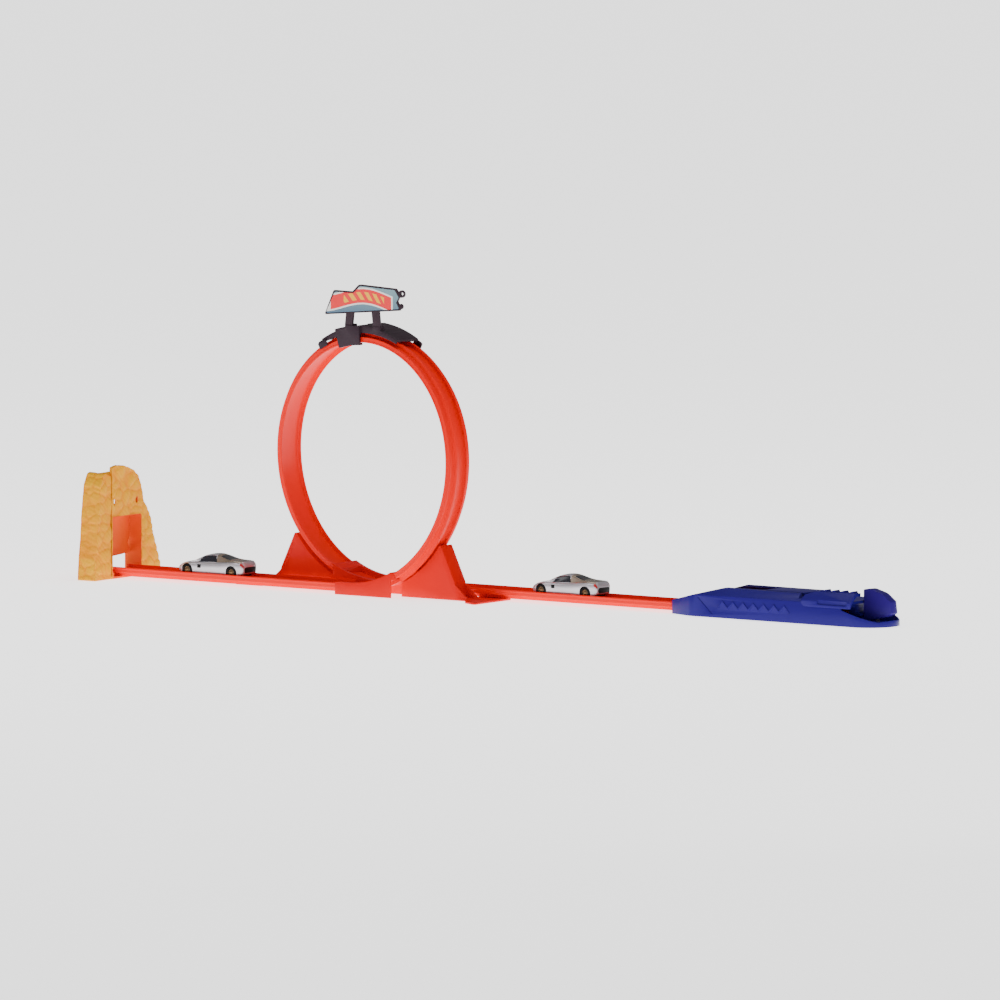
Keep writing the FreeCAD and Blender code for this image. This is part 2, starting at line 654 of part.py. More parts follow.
def launcher_plan(inset):
    front = LAUNCHER_FRONT + inset
    low = BODY_LOW + inset
    high = BODY_HIGH - inset
    end = LAUNCHER_END - inset
    return [(front, FAR_LANE - MOUTH_HALF + inset), (FLARE_X, low, 20), (end, low, TAIL_ROUND - inset),
            (end, high, TAIL_ROUND - inset), (FLARE_X, high, 20), (front, FAR_LANE + MOUTH_HALF - inset)]


def launcher_side_profile():
    """Side view of the lower shell: rising nose, level wall, falling tail."""
    return [(LAUNCHER_FRONT - 1, 0), (LAUNCHER_FRONT - 1, MOUTH_HEIGHT), (LAUNCHER_FRONT, MOUTH_HEIGHT),
            (SEAM_X, SHELL_SPLIT), (WALL_DROP, SHELL_SPLIT, 2), (WALL_DROP + 4, 17.8, 2),
            (LAUNCHER_END - 7, 5.6, 4), (LAUNCHER_END + 1, 7.2), (LAUNCHER_END + 1, 0)]


def chevrons(side_y, outward):
    """Raised zigzag along one side wall."""
    top = []
    bottom = []
    for step in range(2 * CHEVRON_COUNT + 1):
        x = CHEVRON_START + CHEVRON_PITCH / 2 * step
        z = 17.0 if step % 2 else 9.5
        top.append((x, z + 2.6))
        bottom.append((x, z))
    low = min(side_y, side_y + outward)
    return prism(top + bottom[::-1], "xz", low, low + abs(outward))


def launcher_base():
    """Lower shell with anchor posts, screw bosses, pivot ears and zigzag sides."""
    shell = prism(launcher_plan(0), "xy", 0, SHELL_SPLIT)
    shell = shell.common(prism(launcher_side_profile(), "xz", BODY_LOW - 1, BODY_HIGH + 1))
    shell = shell.cut(prism(launcher_plan(LAUNCHER_WALL), "xy", LAUNCHER_WALL, SHELL_SPLIT + 1))
    mouth_half = HALF + SLIDE_GAP
    shell = shell.cut(box(LAUNCHER_FRONT - 1, LAUNCHER_FRONT + 6, FAR_LANE - mouth_half,
                          FAR_LANE + mouth_half, TRACK_LIFT, SHELL_SPLIT))
    pieces = [shell]
    for side in (-1, 1):
        post_y = FAR_LANE + side * BAND_OFFSET
        pieces.append(rod_z(ANCHOR_X, post_y, 1.9, LAUNCHER_WALL - 0.5, BAND_Z + 3.0))
        pieces.append(rod_z(ANCHOR_X, post_y, 2.6, LAUNCHER_WALL - 0.5, BAND_Z - 2.5))
        for x in BOSS_XS:
            boss_y = FAR_LANE + side * BOSS_OFFSET
            pieces.append(rod_z(x, boss_y, BOSS_RADIUS, LAUNCHER_WALL - 0.5, SHELL_SPLIT - 0.2))
        ear_low = FAR_LANE + side * EAR_OFFSET - 1.5
        pieces.append(prism([(PIVOT_X - 5, 1.7), (PIVOT_X - 5, PIVOT_Z + 2.8, 2),
                             (PIVOT_X + 5, PIVOT_Z + 2.8, 2), (PIVOT_X + 5, 1.7)],
                            "xz", ear_low, ear_low + 3))
    pieces.append(chevrons(BODY_LOW, -0.8))
    pieces.append(chevrons(BODY_HIGH, 0.8))
    body = join(pieces)
    body = body.cut(rod_y(PIVOT_X, PIVOT_Z, PIVOT_RADIUS, FAR_LANE - 11, FAR_LANE + 11))
    for side in (-1, 1):
        for x in BOSS_XS:
            boss_y = FAR_LANE + side * BOSS_OFFSET
            body = body.cut(rod_z(x, boss_y, SCREW_RADIUS + 0.05, -1, SHELL_SPLIT + 1))
            body = body.cut(rod_z(x, boss_y, SCREW_HEAD + 0.2, -1, SCREW_SEAT))
    groove = prism([(SEAM_X + 4, 22), (SEAM_X + 6, 22), (SEAM_X + 26, 4), (SEAM_X + 24, 4)],
                   "xz", BODY_LOW - 1, BODY_LOW + 0.6)
    return body.cut(groove)


def cover_section(inset):
    """Cross-section of the cover, with leaning sides and a flat roof."""
    low = BODY_LOW + inset * 1.25
    high = BODY_HIGH - inset * 1.25
    top = ROOF_HEIGHT - inset
    lean = ROOF_INSET * (1 - 0.02 * inset)
    base_z = SHELL_SPLIT if inset == 0 else SHELL_SPLIT - 1
    skew = 0 if inset == 0 else -ROOF_INSET / (ROOF_HEIGHT - SHELL_SPLIT)
    return [(low + skew, base_z), (low + lean, top), (high - lean, top), (high - skew, base_z)]


def launcher_cover():
    """Upper shell: open nose and loading bay, roof, lower rear deck, handle's slot."""
    cover = prism(cover_section(0), "yz", SEAM_X, DECK_END)
    side = [(SEAM_X - 1, SHELL_SPLIT - 0.2), (SEAM_X, SHELL_SPLIT), (NOSE_X, ROOF_HEIGHT, 6),
            (ROOF_END, ROOF_HEIGHT, 1), (ROOF_END + 2, DECK_HEIGHT, 1), (DECK_END + 1, DECK_HEIGHT),
            (DECK_END + 1, SHELL_SPLIT - 0.2)]
    cover = cover.common(prism(side, "xz", BODY_LOW - 1, BODY_HIGH + 1))
    hollow = prism(cover_section(LAUNCHER_WALL), "yz", SEAM_X - 2, DECK_END - LAUNCHER_WALL)
    inner_side = [(SEAM_X - 3, SHELL_SPLIT - 2), (SEAM_X - 3, ROOF_HEIGHT + 1),
                  (NOSE_X, ROOF_HEIGHT + 1), (NOSE_X, ROOF_HEIGHT - LAUNCHER_WALL),
                  (ROOF_END - 1, ROOF_HEIGHT - LAUNCHER_WALL), (ROOF_END - 1, DECK_HEIGHT - 1.6),
                  (DECK_END, DECK_HEIGHT - 1.6), (DECK_END, SHELL_SPLIT - 2)]
    hollow = hollow.common(prism(inner_side, "xz", BODY_LOW - 1, BODY_HIGH + 1))
    cover = cover.cut(hollow)
    nose_open = box(SEAM_X - 3, NOSE_X, BODY_LOW + ROOF_INSET + 1, BODY_HIGH - ROOF_INSET - 1,
                    SHELL_SPLIT - 1, ROOF_HEIGHT + 2)
    cover = cover.cut(nose_open)
    bay_low = FAR_LANE - BAY_HALF
    bay_high = FAR_LANE + BAY_HALF
    bay = prism([(NOSE_X - 1, bay_low), (BAY_END, bay_low, 5), (BAY_END, bay_high, 5),
                 (NOSE_X - 1, bay_high)], "xy", ROOF_HEIGHT - LAUNCHER_WALL - 2, ROOF_HEIGHT + 2)
    cover = cover.cut(bay)
    slot = box(PUSHER_X - SLIDE_STROKE - 1, PUSHER_X + PUSHER_LONG + 1, WEB_LOW - SLIDE_GAP,
               WEB_HIGH + SLIDE_GAP, SHELL_SPLIT - 1, ROOF_HEIGHT + 2)
    return cover.cut(slot)


def slider_handle():
    """Grip that wraps the launcher's near top edge, ribbed on top."""
    flank_in = BODY_LOW - SLIDE_GAP
    flank_out = flank_in - HANDLE_SKIN
    roof_edge = BODY_LOW + ROOF_INSET - 0.2
    section = [(flank_out, HANDLE_BOTTOM), (flank_out, SHELL_SPLIT + 2.2, 2),
               (roof_edge - 2.6, HANDLE_TOP, 2), (HANDLE_INNER, HANDLE_TOP),
               (HANDLE_INNER, ROOF_HEIGHT + SLIDE_GAP), (roof_edge, ROOF_HEIGHT + SLIDE_GAP),
               (flank_in, SHELL_SPLIT + 0.3), (flank_in, HANDLE_BOTTOM)]
    grip = prism(section, "yz", HANDLE_X0, HANDLE_X1)
    side = [(HANDLE_X0, HANDLE_BOTTOM - 0.1, 6), (HANDLE_X0, 32, 4), (HANDLE_X0 + 13, HANDLE_TOP + 0.1, 5),
            (HANDLE_X1, HANDLE_TOP + 0.1), (HANDLE_X1, HANDLE_BOTTOM - 0.1, 2)]
    grip = grip.common(prism(side, "xz", flank_out - 1, HANDLE_INNER + 1))
    ribs = [grip]
    for peak in (26.0, 38.0, 50.0, 62.5):
        crest = HANDLE_X0 + peak
        ribs.append(prism([(crest - 10, HANDLE_TOP - 0.3), (crest, HANDLE_TOP + 2.4, 0.4),
                           (crest + 1.5, HANDLE_TOP - 0.3)], "xz", roof_edge - 1.5, HANDLE_INNER))
    grip = join(ribs)
    recess = prism([(HANDLE_X0 + 22, 23.0, 2.6), (HANDLE_X0 + 22, 28.6, 2.6),
                    (HANDLE_X1 - 5, 28.6, 2.6), (HANDLE_X1 - 5, 23.0, 2.6)],
                   "xz", flank_out - 1, flank_out + 1.3)
    return grip.cut(recess)


def slider_carriage():
    """Pusher inside the tunnel, its cross arm and the web that meets the handle."""
    x0 = PUSHER_X
    x1 = PUSHER_X + PUSHER_LONG
    arm_half = BAND_OFFSET + BAND_SIZE / 2 + 0.3
    arm = box(x0, x1, FAR_LANE - arm_half, FAR_LANE + arm_half, BAND_Z - 2.5, BAND_Z + 2.5)
    pusher = prism([(x0, RUN_Z + 1.6, 1), (x0, BAND_Z), (x1, BAND_Z), (x1, 14), (x1 + 6, 13, 1),
                    (x1 + 6, RUN_Z + 1.6)],
                   "xz", FAR_LANE - 10, FAR_LANE + 10)
    web = box(x0, x1, WEB_LOW, WEB_HIGH, BAND_Z, ROOF_HEIGHT + SLIDE_GAP)
    return join([arm, pusher, web])


def trigger_lever():
    """Thumb lever in the tail: a fan-shaped pad on an arm that pivots at its front."""
    front = DECK_END + 0.8
    corners = [(PIVOT_X - 3.6, PIVOT_Z - 2.6, 2), (PIVOT_X - 3.6, PIVOT_Z + 3, 2), (front, PIVOT_Z + 3),
               (front, 40.0, 1.2), (front + 9, 41.0, 14), (front + 25, 36.5, 16),
               (LAUNCHER_END - 1.0, 28, 3), (LAUNCHER_END + 0.8, 14.5, 2), (LAUNCHER_END - 7, 10.5, 3),
               (PIVOT_X + 20, 4.8, 6)]
    lever = prism(corners, "xz", FAR_LANE - LEVER_HALF, FAR_LANE + LEVER_HALF)
    lever = lever.cut(rod_y(PIVOT_X, PIVOT_Z, PIVOT_RADIUS + 0.05, FAR_LANE - 9, FAR_LANE + 9))
    return lever.cut(rod_z(SPRING_X, FAR_LANE, SPRING_RADIUS + 0.7, 0, 16))


def elastic_band(side):
    """One straight stretched run of the elastic, from anchor post to cross arm."""
    y = FAR_LANE + side * BAND_OFFSET
    half = BAND_SIZE / 2
    return box(ANCHOR_X + 2.2, PUSHER_X - 0.2, y - half, y + half, BAND_Z - half, BAND_Z + half)


def screw(x, y):
    head = rod_z(x, y, SCREW_HEAD, SCREW_SEAT - 1.1, SCREW_SEAT)
    shank = rod_z(x, y, SCREW_RADIUS, SCREW_SEAT, SHELL_SPLIT - 1)
    slot = box(x - SCREW_HEAD, x + SCREW_HEAD, y - 0.3, y + 0.3, 0, SCREW_SEAT - 0.6)
    return join([head, shank]).cut(slot)


keep("launcher_base", launcher_base())
keep("launcher_cover", launcher_cover())
keep("launcher_lane", straight_track(FAR_LANE, LAUNCH_TRACK_X1 + PART_GAP, LANE_END))
keep("slider_handle", slider_handle())
keep("slider_carriage", slider_carriage())
keep("elastic_near", elastic_band(-1))
keep("elastic_far", elastic_band(1))
keep("trigger_lever", trigger_lever())
keep("trigger_pin", rod_y(PIVOT_X, PIVOT_Z, PIVOT_RADIUS, FAR_LANE - 10.2, FAR_LANE + 10.2))
spring = rod_z(SPRING_X, FAR_LANE, SPRING_RADIUS, LAUNCHER_WALL + 0.1, 15.8)
keep("trigger_spring", spring.cut(rod_z(SPRING_X, FAR_LANE, SPRING_RADIUS - 0.7, 0, 17)))
for index, (x, side) in enumerate([(x, side) for x in BOSS_XS for side in (-1, 1)]):
    keep("launcher_screw_%d" % (index + 1), screw(x, FAR_LANE + side * BOSS_OFFSET))

# ---------------------------------------------------------------- cars
RIDE_Z = RUN_Z + 0.05                   # wheels just clear of the running floor
AXLE_Z = RIDE_Z + WHEEL_RADIUS
SILL_Z = 2.6                            # body above the running floor
FRONT_AXLE = -WHEEL_BASE / 2 - 0.5      # the cars face -X
CAR_LONG = CAR_LENGTH / 80.0            # the body's lines are drawn 80 long and 23 tall
CAR_TALL = CAR_HEIGHT / 23.0
ARCH_GAP = 0.9
WHEEL_INNER = CAR_WIDTH / 2 - WHEEL_WIDTH - 0.9
REAR_AXLE = FRONT_AXLE + WHEEL_BASE


def car_section(x, half, bottom, belt, crown, top_half, lane_y, at_x):
    """One closed cross-section of the car's skin, as an eight-cornered wire."""
    low = RIDE_Z + bottom
    shoulder = RIDE_Z + belt * CAR_TALL
    corners = [(half * 0.92, low), (half, low + 2.0), (half, shoulder - 1.5),
               (half * 0.93, shoulder), (top_half, crown * CAR_TALL + RIDE_Z)]
    right = [vec(at_x + x, lane_y + y, z) for y, z in corners]
    left = [vec(at_x + x, lane_y - y, z) for y, z in reversed(corners)]
    wire_points = right + left
    return Part.makePolygon(wire_points + wire_points[:1])


def car_shell(at_x, lane_y):
    """Die-cast body: lofted lower body with wheel arches and a cabin frame."""
    half = CAR_WIDTH / 2
    end = CAR_LENGTH / 2
    stations = [
        (-end, half * 0.66, 4.4, 8.4, 9.4, half * 0.52),
        (-end + 4, half * 0.88, 3.6, 10.0, 11.4, half * 0.66),
        (-end + 14, half * 0.98, SILL_Z, 12.0, 13.2, half * 0.70),
        (-14, half, SILL_Z, 12.6, 14.0, half * 0.72),
        (0, half * 0.97, SILL_Z, 13.0, 14.2, half * 0.74),
        (16, half, SILL_Z, 13.8, 15.0, half * 0.76),
        (end - 8, half * 0.97, SILL_Z, 14.2, 15.8, half * 0.74),
        (end - 1, half * 0.84, 3.6, 13.4, 14.6, half * 0.66),
        (end, half * 0.76, 5.0, 12.4, 13.2, half * 0.60),
    ]
    wires = [car_section(*station, lane_y, at_x) for station in stations]
    body = Part.makeLoft(wires, True, False)
    body = body.fuse(cabin(at_x, lane_y, 0.0))
    body = body.cut(cabin(at_x, lane_y, 0.9))
    body = body.cut(box(at_x - end + 5, at_x + end - 5, lane_y - half + 2.2, lane_y + half - 2.2,
                        RIDE_Z, RIDE_Z + 11.0))
    for axle_x in (FRONT_AXLE, REAR_AXLE):
        for y0, y1 in ((-half - 2, 0.8 - WHEEL_INNER), (WHEEL_INNER - 0.8, half + 2)):
            body = body.cut(rod_y(at_x + axle_x, AXLE_Z, WHEEL_RADIUS + ARCH_GAP,
                                  lane_y + y0, lane_y + y1))
    return body.cut(window_cutter(at_x, lane_y))


def cabin(at_x, lane_y, inset):
    """Cabin volume that the roof, pillars and glazing share, narrower towards the top."""
    half = CAR_WIDTH / 2 - 2.4 - inset
    roof_half = half - 3.6
    rings = [(-21, 27, half, RIDE_Z + 12.3 * CAR_TALL),
             (-7.5, 15, roof_half + 1.1, RIDE_Z + 20.0 * CAR_TALL),
             (-2, 7, roof_half - 0.6, RIDE_Z + CAR_HEIGHT - inset)]
    wires = []
    for x0, x1, y, z in rings:
        low_x = at_x + x0 * CAR_LONG + inset
        high_x = at_x + x1 * CAR_LONG - inset
        corners = [vec(low_x, lane_y - y, z), vec(high_x, lane_y - y, z),
                   vec(high_x, lane_y + y, z), vec(low_x, lane_y + y, z)]
        wires.append(Part.makePolygon(corners + corners[:1]))
    return Part.makeLoft(wires, True, True)


def window_cutter(at_x, lane_y):
    """Window openings: two side windows, the windscreen and the rear window."""
    half = CAR_WIDTH / 2
    low = RIDE_Z + 15.4 * CAR_TALL
    high = RIDE_Z + 20.2 * CAR_TALL
    side = prism([(at_x - 13 * CAR_LONG, low), (at_x - 5 * CAR_LONG, high, 0.8),
                  (at_x + 10 * CAR_LONG, high, 1.2), (at_x + 17 * CAR_LONG, low, 0.6)],
                 "xz", lane_y - half, lane_y + half)
    glass_half = half - 6.2
    front = prism([(at_x - 20 * CAR_LONG, low - 0.4), (at_x - 5.5 * CAR_LONG, high + 1.0),
                   (at_x - 8.5 * CAR_LONG, high + 3.5), (at_x - 24 * CAR_LONG, low + 2)],
                  "xz", lane_y - glass_half, lane_y + glass_half)
    rear = prism([(at_x + 23 * CAR_LONG, low), (at_x + 13 * CAR_LONG, high + 0.4),
                  (at_x + 15 * CAR_LONG, high + 3), (at_x + 27 * CAR_LONG, low + 2)],
                 "xz", lane_y - glass_half + 1, lane_y + glass_half - 1)
    return side.fuse([front, rear])


def car_glass(at_x, lane_y):
    """Glazing insert that fills the cabin just inside its frame."""
    return cabin(at_x, lane_y, 1.0)


def car_chassis(at_x, lane_y):
    """Floor plate with saddles that hold both axles."""
    half = CAR_WIDTH / 2 - 2.5
    end = CAR_LENGTH / 2
    low = RIDE_Z + SILL_Z - 1.0
    plate = prism([(at_x - end + 6, lane_y - half, 3), (at_x + end - 6, lane_y - half, 3),
                   (at_x + end - 6, lane_y + half, 3), (at_x - end + 6, lane_y + half, 3)],
                  "xy", low, low + 1.6)
    inner = WHEEL_INNER
    pieces = [plate]
    for axle_x in (FRONT_AXLE, REAR_AXLE):
        pieces.append(box(at_x + axle_x - 3, at_x + axle_x + 3, lane_y - inner + 1.2,
                          lane_y + inner - 1.2, low, AXLE_Z + 2.2))
    chassis = join(pieces)
    for axle_x in (FRONT_AXLE, REAR_AXLE):
        centre = at_x + axle_x
        for side in (-1, 1):
            y0 = lane_y + side * (inner + WHEEL_WIDTH / 2) - WHEEL_WIDTH / 2 - 0.9
            well = box(centre - WHEEL_RADIUS - 1, centre + WHEEL_RADIUS + 1,
                       y0, y0 + WHEEL_WIDTH + 1.8, low - 1, AXLE_Z + 3)
            chassis = chassis.cut(well)
        chassis = chassis.cut(rod_y(centre, AXLE_Z, AXLE_RADIUS + 0.08, lane_y - half, lane_y + half))
    return chassis


def car_wheel(at_x, lane_y, side):
    """Hard plastic wheel with a stepped rim, a hub and eight spoke pockets."""
    outer = lane_y + side * (CAR_WIDTH / 2 - 0.4)
    inner = outer - side * WHEEL_WIDTH
    low, high = min(outer, inner), max(outer, inner)
    wheel = rod_y(at_x, AXLE_Z, WHEEL_RADIUS, low, high)
    edge = [edge for edge in wheel.Edges if abs(edge.Length - 2 * math.pi * WHEEL_RADIUS) < 0.1]
    wheel = wheel.makeChamfer(0.5, edge)
    dish_low = outer - 0.9 if side > 0 else outer - 0.5
    wheel = wheel.cut(rod_y(at_x, AXLE_Z, WHEEL_RADIUS * 0.72, dish_low, dish_low + 1.4))
    pocket_low = outer - 2.2 if side > 0 else outer + 0.6
    for spoke in range(6):
        turn = math.radians(60 * spoke + 30)
        reach = WHEEL_RADIUS * 0.48
        wheel = wheel.cut(rod_y(at_x + reach * math.cos(turn), AXLE_Z + reach * math.sin(turn),
                                WHEEL_RADIUS * 0.16, pocket_low, pocket_low + 1.6))
    hub_low = outer - 1.2 if side > 0 else outer
    wheel = wheel.fuse(rod_y(at_x, AXLE_Z, 1.3, hub_low, hub_low + 1.2))
    reach_low = min(inner, outer - side * 0.5)
    reach_high = max(inner, outer - side * 0.5)
    return wheel.cut(rod_y(at_x, AXLE_Z, AXLE_RADIUS, reach_low, reach_high))


def car_axle(at_x, lane_y):
    reach = CAR_WIDTH / 2 - 0.9
    return rod_y(at_x, AXLE_Z, AXLE_RADIUS, lane_y - reach, lane_y + reach)


for car, car_x, lane_y in (("car_gate", CAR_GATE_X, NEAR_LANE), ("car_launch", CAR_LAUNCH_X, FAR_LANE)):
    keep(car + "_shell", car_shell(car_x, lane_y))
    keep(car + "_glass", car_glass(car_x, lane_y))
    keep(car + "_chassis", car_chassis(car_x, lane_y))
    for end, axle_x in (("front", FRONT_AXLE), ("rear", REAR_AXLE)):
        keep("%s_%s_axle" % (car, end), car_axle(car_x + axle_x, lane_y))
        for hand, side in (("near", -1), ("far", 1)):
            keep("%s_%s_wheel_%s" % (car, end, hand), car_wheel(car_x + axle_x, lane_y, side))

# ---------------------------------------------------------------- export
os.makedirs("parts", exist_ok=True)
for name, shape in NODES.items():
    shape.exportStep("parts/%s.step" % name)
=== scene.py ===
# %% [markdown]
# # A toy loop track, dressed for its portrait
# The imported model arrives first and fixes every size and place. Its parts already sit
# where they belong, so this lesson only gives them better surfaces: smooth swept track,
# craggy rock, small metal cars, and plastics that look moulded.

# %% Load the frame
import json
import math
import bpy
import bmesh
import numpy as np
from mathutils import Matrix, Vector

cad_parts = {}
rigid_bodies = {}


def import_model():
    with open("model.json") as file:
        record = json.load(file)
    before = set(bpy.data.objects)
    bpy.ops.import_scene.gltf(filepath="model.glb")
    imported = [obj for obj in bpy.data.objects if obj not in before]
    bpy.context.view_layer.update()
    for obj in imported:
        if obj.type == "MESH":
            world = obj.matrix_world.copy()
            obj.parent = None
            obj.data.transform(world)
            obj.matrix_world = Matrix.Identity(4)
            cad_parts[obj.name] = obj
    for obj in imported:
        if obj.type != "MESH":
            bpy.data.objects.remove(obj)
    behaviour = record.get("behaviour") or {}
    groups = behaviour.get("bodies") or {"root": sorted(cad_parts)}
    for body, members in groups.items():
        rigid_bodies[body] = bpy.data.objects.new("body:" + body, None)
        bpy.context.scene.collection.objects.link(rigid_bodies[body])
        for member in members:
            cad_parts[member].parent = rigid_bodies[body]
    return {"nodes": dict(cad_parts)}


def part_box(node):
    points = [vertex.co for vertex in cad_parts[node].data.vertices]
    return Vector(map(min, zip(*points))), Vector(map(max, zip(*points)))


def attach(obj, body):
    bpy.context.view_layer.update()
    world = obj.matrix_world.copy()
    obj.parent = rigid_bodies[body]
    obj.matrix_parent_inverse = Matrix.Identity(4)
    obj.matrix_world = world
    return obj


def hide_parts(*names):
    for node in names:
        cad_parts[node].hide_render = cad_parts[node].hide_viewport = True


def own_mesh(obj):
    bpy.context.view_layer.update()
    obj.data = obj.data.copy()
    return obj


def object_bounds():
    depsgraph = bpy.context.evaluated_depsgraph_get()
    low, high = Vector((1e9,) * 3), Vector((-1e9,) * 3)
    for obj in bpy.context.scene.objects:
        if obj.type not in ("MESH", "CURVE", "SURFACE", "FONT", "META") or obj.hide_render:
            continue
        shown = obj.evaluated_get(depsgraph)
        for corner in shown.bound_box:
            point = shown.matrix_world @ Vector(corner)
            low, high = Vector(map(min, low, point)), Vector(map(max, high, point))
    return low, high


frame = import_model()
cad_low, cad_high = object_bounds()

MM = 0.001
print("CAD box in metres:", [round(v, 4) for v in cad_low], [round(v, 4) for v in cad_high])

# %% [markdown]
# ## Camera, floor and light
# A camera can be aimed by eye, or worked out from the model's own box. We work it out: a
# long, flat view from a little above the track and well round to the launcher's side. An
# orthographic camera keeps the far gate and the near launcher at one scale.

# %% Camera
VIEW_TURN = math.radians(36.0)
VIEW_RISE = math.radians(5.64)
VIEW_WIDTH = 1.105
AIM_RIGHT = 0.0057
AIM_DOWN = 0.0575
CAMERA_AWAY = 8.0
centre = np.array([(low + high) / 2 for low, high in zip(cad_low, cad_high)])
back = np.array([math.sin(VIEW_TURN) * math.cos(VIEW_RISE),
                 -math.cos(VIEW_TURN) * math.cos(VIEW_RISE), math.sin(VIEW_RISE)])
rightward = np.array([math.cos(VIEW_TURN), math.sin(VIEW_TURN), 0.0])
upward = np.cross(back, rightward)
aim = centre + AIM_RIGHT * rightward - AIM_DOWN * upward
camera_data = bpy.data.cameras.new("portrait_camera")
camera_data.type = "ORTHO"
camera_data.ortho_scale = VIEW_WIDTH
camera_data.clip_end = 60.0
camera = bpy.data.objects.new("portrait_camera", camera_data)
bpy.context.scene.collection.objects.link(camera)
camera.location = aim + CAMERA_AWAY * back
camera.rotation_mode = "QUATERNION"
camera.rotation_quaternion = Vector(back).to_track_quat("Z", "Y")
bpy.context.scene.camera = camera
print("camera aims at", aim.round(4), "and sees", VIEW_WIDTH, "m across")


# %% [markdown]
# ## Writing shader maths as plain sums
# Node graphs are easiest to read as sentences. The class below wraps one output socket, so
# that `1 - mask * 0.5` adds its own Math nodes. Everything else goes through one method
# that takes a node's type, its settings and its inputs.

# %% Shader maths helper
class Flow:
    """A value that travels along a link of one material."""

    def __init__(self, finish, socket):
        self.finish = finish
        self.socket = socket

    def maths(self, operation, first, second=0.0):
        return self.finish.node("ShaderNodeMath", {"operation": operation}, {0: first, 1: second})

    def __add__(self, other):
        return self.maths("ADD", self, other)

    def __sub__(self, other):
        return self.maths("SUBTRACT", self, other)

    def __rsub__(self, other):
        return self.maths("SUBTRACT", other, self)

    def __mul__(self, other):
        return self.maths("MULTIPLY", self, other)

    def __truediv__(self, other):
        return self.maths("DIVIDE", self, other)

    def __gt__(self, other):
        return self.maths("GREATER_THAN", self, other)

    def __lt__(self, other):
        return self.maths("LESS_THAN", self, other)

    def size(self):
        return self.maths("ABSOLUTE", self)

    def wave(self):
        return self.maths("SINE", self)

    def remainder(self, step):
        return self.maths("FLOORED_MODULO", self, step)

    __radd__ = __add__
    __rmul__ = __mul__


class Finish:
    """One material: its Principled shader and the nodes that feed it."""

    def __init__(self, name, **constants):
        self.material = bpy.data.materials.new(name)
        self.material.use_nodes = True
        self.tree = self.material.node_tree
        self.shader = self.tree.nodes["Principled BSDF"]
        for socket, value in constants.items():
            self.shader.inputs[socket.replace("_", " ")].default_value = value

    def node(self, kind, settings=None, inputs=None, output=0):
        made = self.tree.nodes.new(kind)
        for key, value in (settings or {}).items():
            if key == "stops":
                self.set_stops(made.color_ramp, value)
            else:
                setattr(made, key, value)
        for key, value in (inputs or {}).items():
            if isinstance(value, Flow):
                self.tree.links.new(value.socket, made.inputs[key])
            else:
                made.inputs[key].default_value = value
        return Flow(self, made.outputs[output])

    def set_stops(self, ramp, stops):
        while len(ramp.elements) > 1:
            ramp.elements.remove(ramp.elements[-1])
        for index, (place, colour) in enumerate(stops):
            element = ramp.elements[0] if index == 0 else ramp.elements.new(place)
            element.position = place
            element.color = (*colour, 1.0)

    def place(self):
        return self.node("ShaderNodeTexCoord", output=3)

    def axes(self):
        parts = self.node("ShaderNodeSeparateXYZ", inputs={0: self.place()}).socket.node
        return [Flow(self, parts.outputs[i]) for i in range(3)]

    def noise(self, size, detail=3.0, roughness=0.5, stretch=(1, 1, 1)):
        """Noise whose blobs are about `size` metres across."""
        spot = self.node("ShaderNodeMapping", inputs={0: self.place(), 3: stretch})
        return self.node("ShaderNodeTexNoise", inputs={
            "Vector": spot, "Scale": 1.0 / size, "Detail": detail, "Roughness": roughness})

    def mix(self, share, first, second):
        """Colour between two others; colours may be links or RGB."""
        first = first if isinstance(first, Flow) else (*first, 1.0)
        second = second if isinstance(second, Flow) else (*second, 1.0)
        return self.node("ShaderNodeMix", {"data_type": "RGBA"},
                         {0: share, 6: first, 7: second}, output=2)

    def bump(self, height, depth, strength=1.0):
        return self.node("ShaderNodeBump",
                         inputs={"Height": height, "Distance": depth, "Strength": strength})

    def feed(self, **links):
        for socket, flow in links.items():
            self.tree.links.new(flow.socket, self.shader.inputs[socket.replace("_", " ")])
        return self.material


def srgb(red, green, blue):
    """Screen colour, 0 to 255, as the linear colour that shaders use."""
    parts = np.array([red, green, blue]) / 255.0
    linear = np.where(parts <= 0.04045, parts / 12.92, ((parts + 0.055) / 1.055) ** 2.4)
    return tuple(float(v) for v in linear)


# %% [markdown]
# ## Moulded plastic
# Every large part here is injection-moulded. Such plastic is never one flat colour: thick
# areas look deeper, the mould leaves a fine grain, and handling leaves faint scuffs. Three
# noises of different sizes give those, and the same recipe serves every colour.

# %% The moulded plastic recipe
def moulded(name, colour, rough, grain=0.0009, grain_depth=0.00003, patchiness=0.10):
    """Colour drifts over 60 mm clouds; roughness and bump follow a fine mould grain."""
    finish = Finish(name, IOR=1.46, Specular_IOR_Level=0.14)
    clouds = finish.noise(0.06, 2.0)
    grain_field = finish.noise(grain, 2.0, 0.6)
    scuffs = finish.noise(0.004, 4.0, 0.7, stretch=(0.12, 1, 1))
    deep = tuple(c * (1 - patchiness) for c in colour)
    pale = tuple(min(1.0, c * (1 + patchiness)) for c in colour)
    tone = finish.mix(clouds, deep, pale)
    worn = tuple(min(1.0, c * 1.25 + 0.004) for c in colour)
    scratched = (scuffs > 0.66) * 0.25
    tone = finish.mix(scratched, tone, worn)
    roughness = rough + (clouds - 0.5) * 0.08 + (scuffs - 0.5) * 0.12
    normal = finish.bump(grain_field, grain_depth, 0.7)
    return finish.feed(Base_Color=tone, Roughness=roughness, Normal=normal)


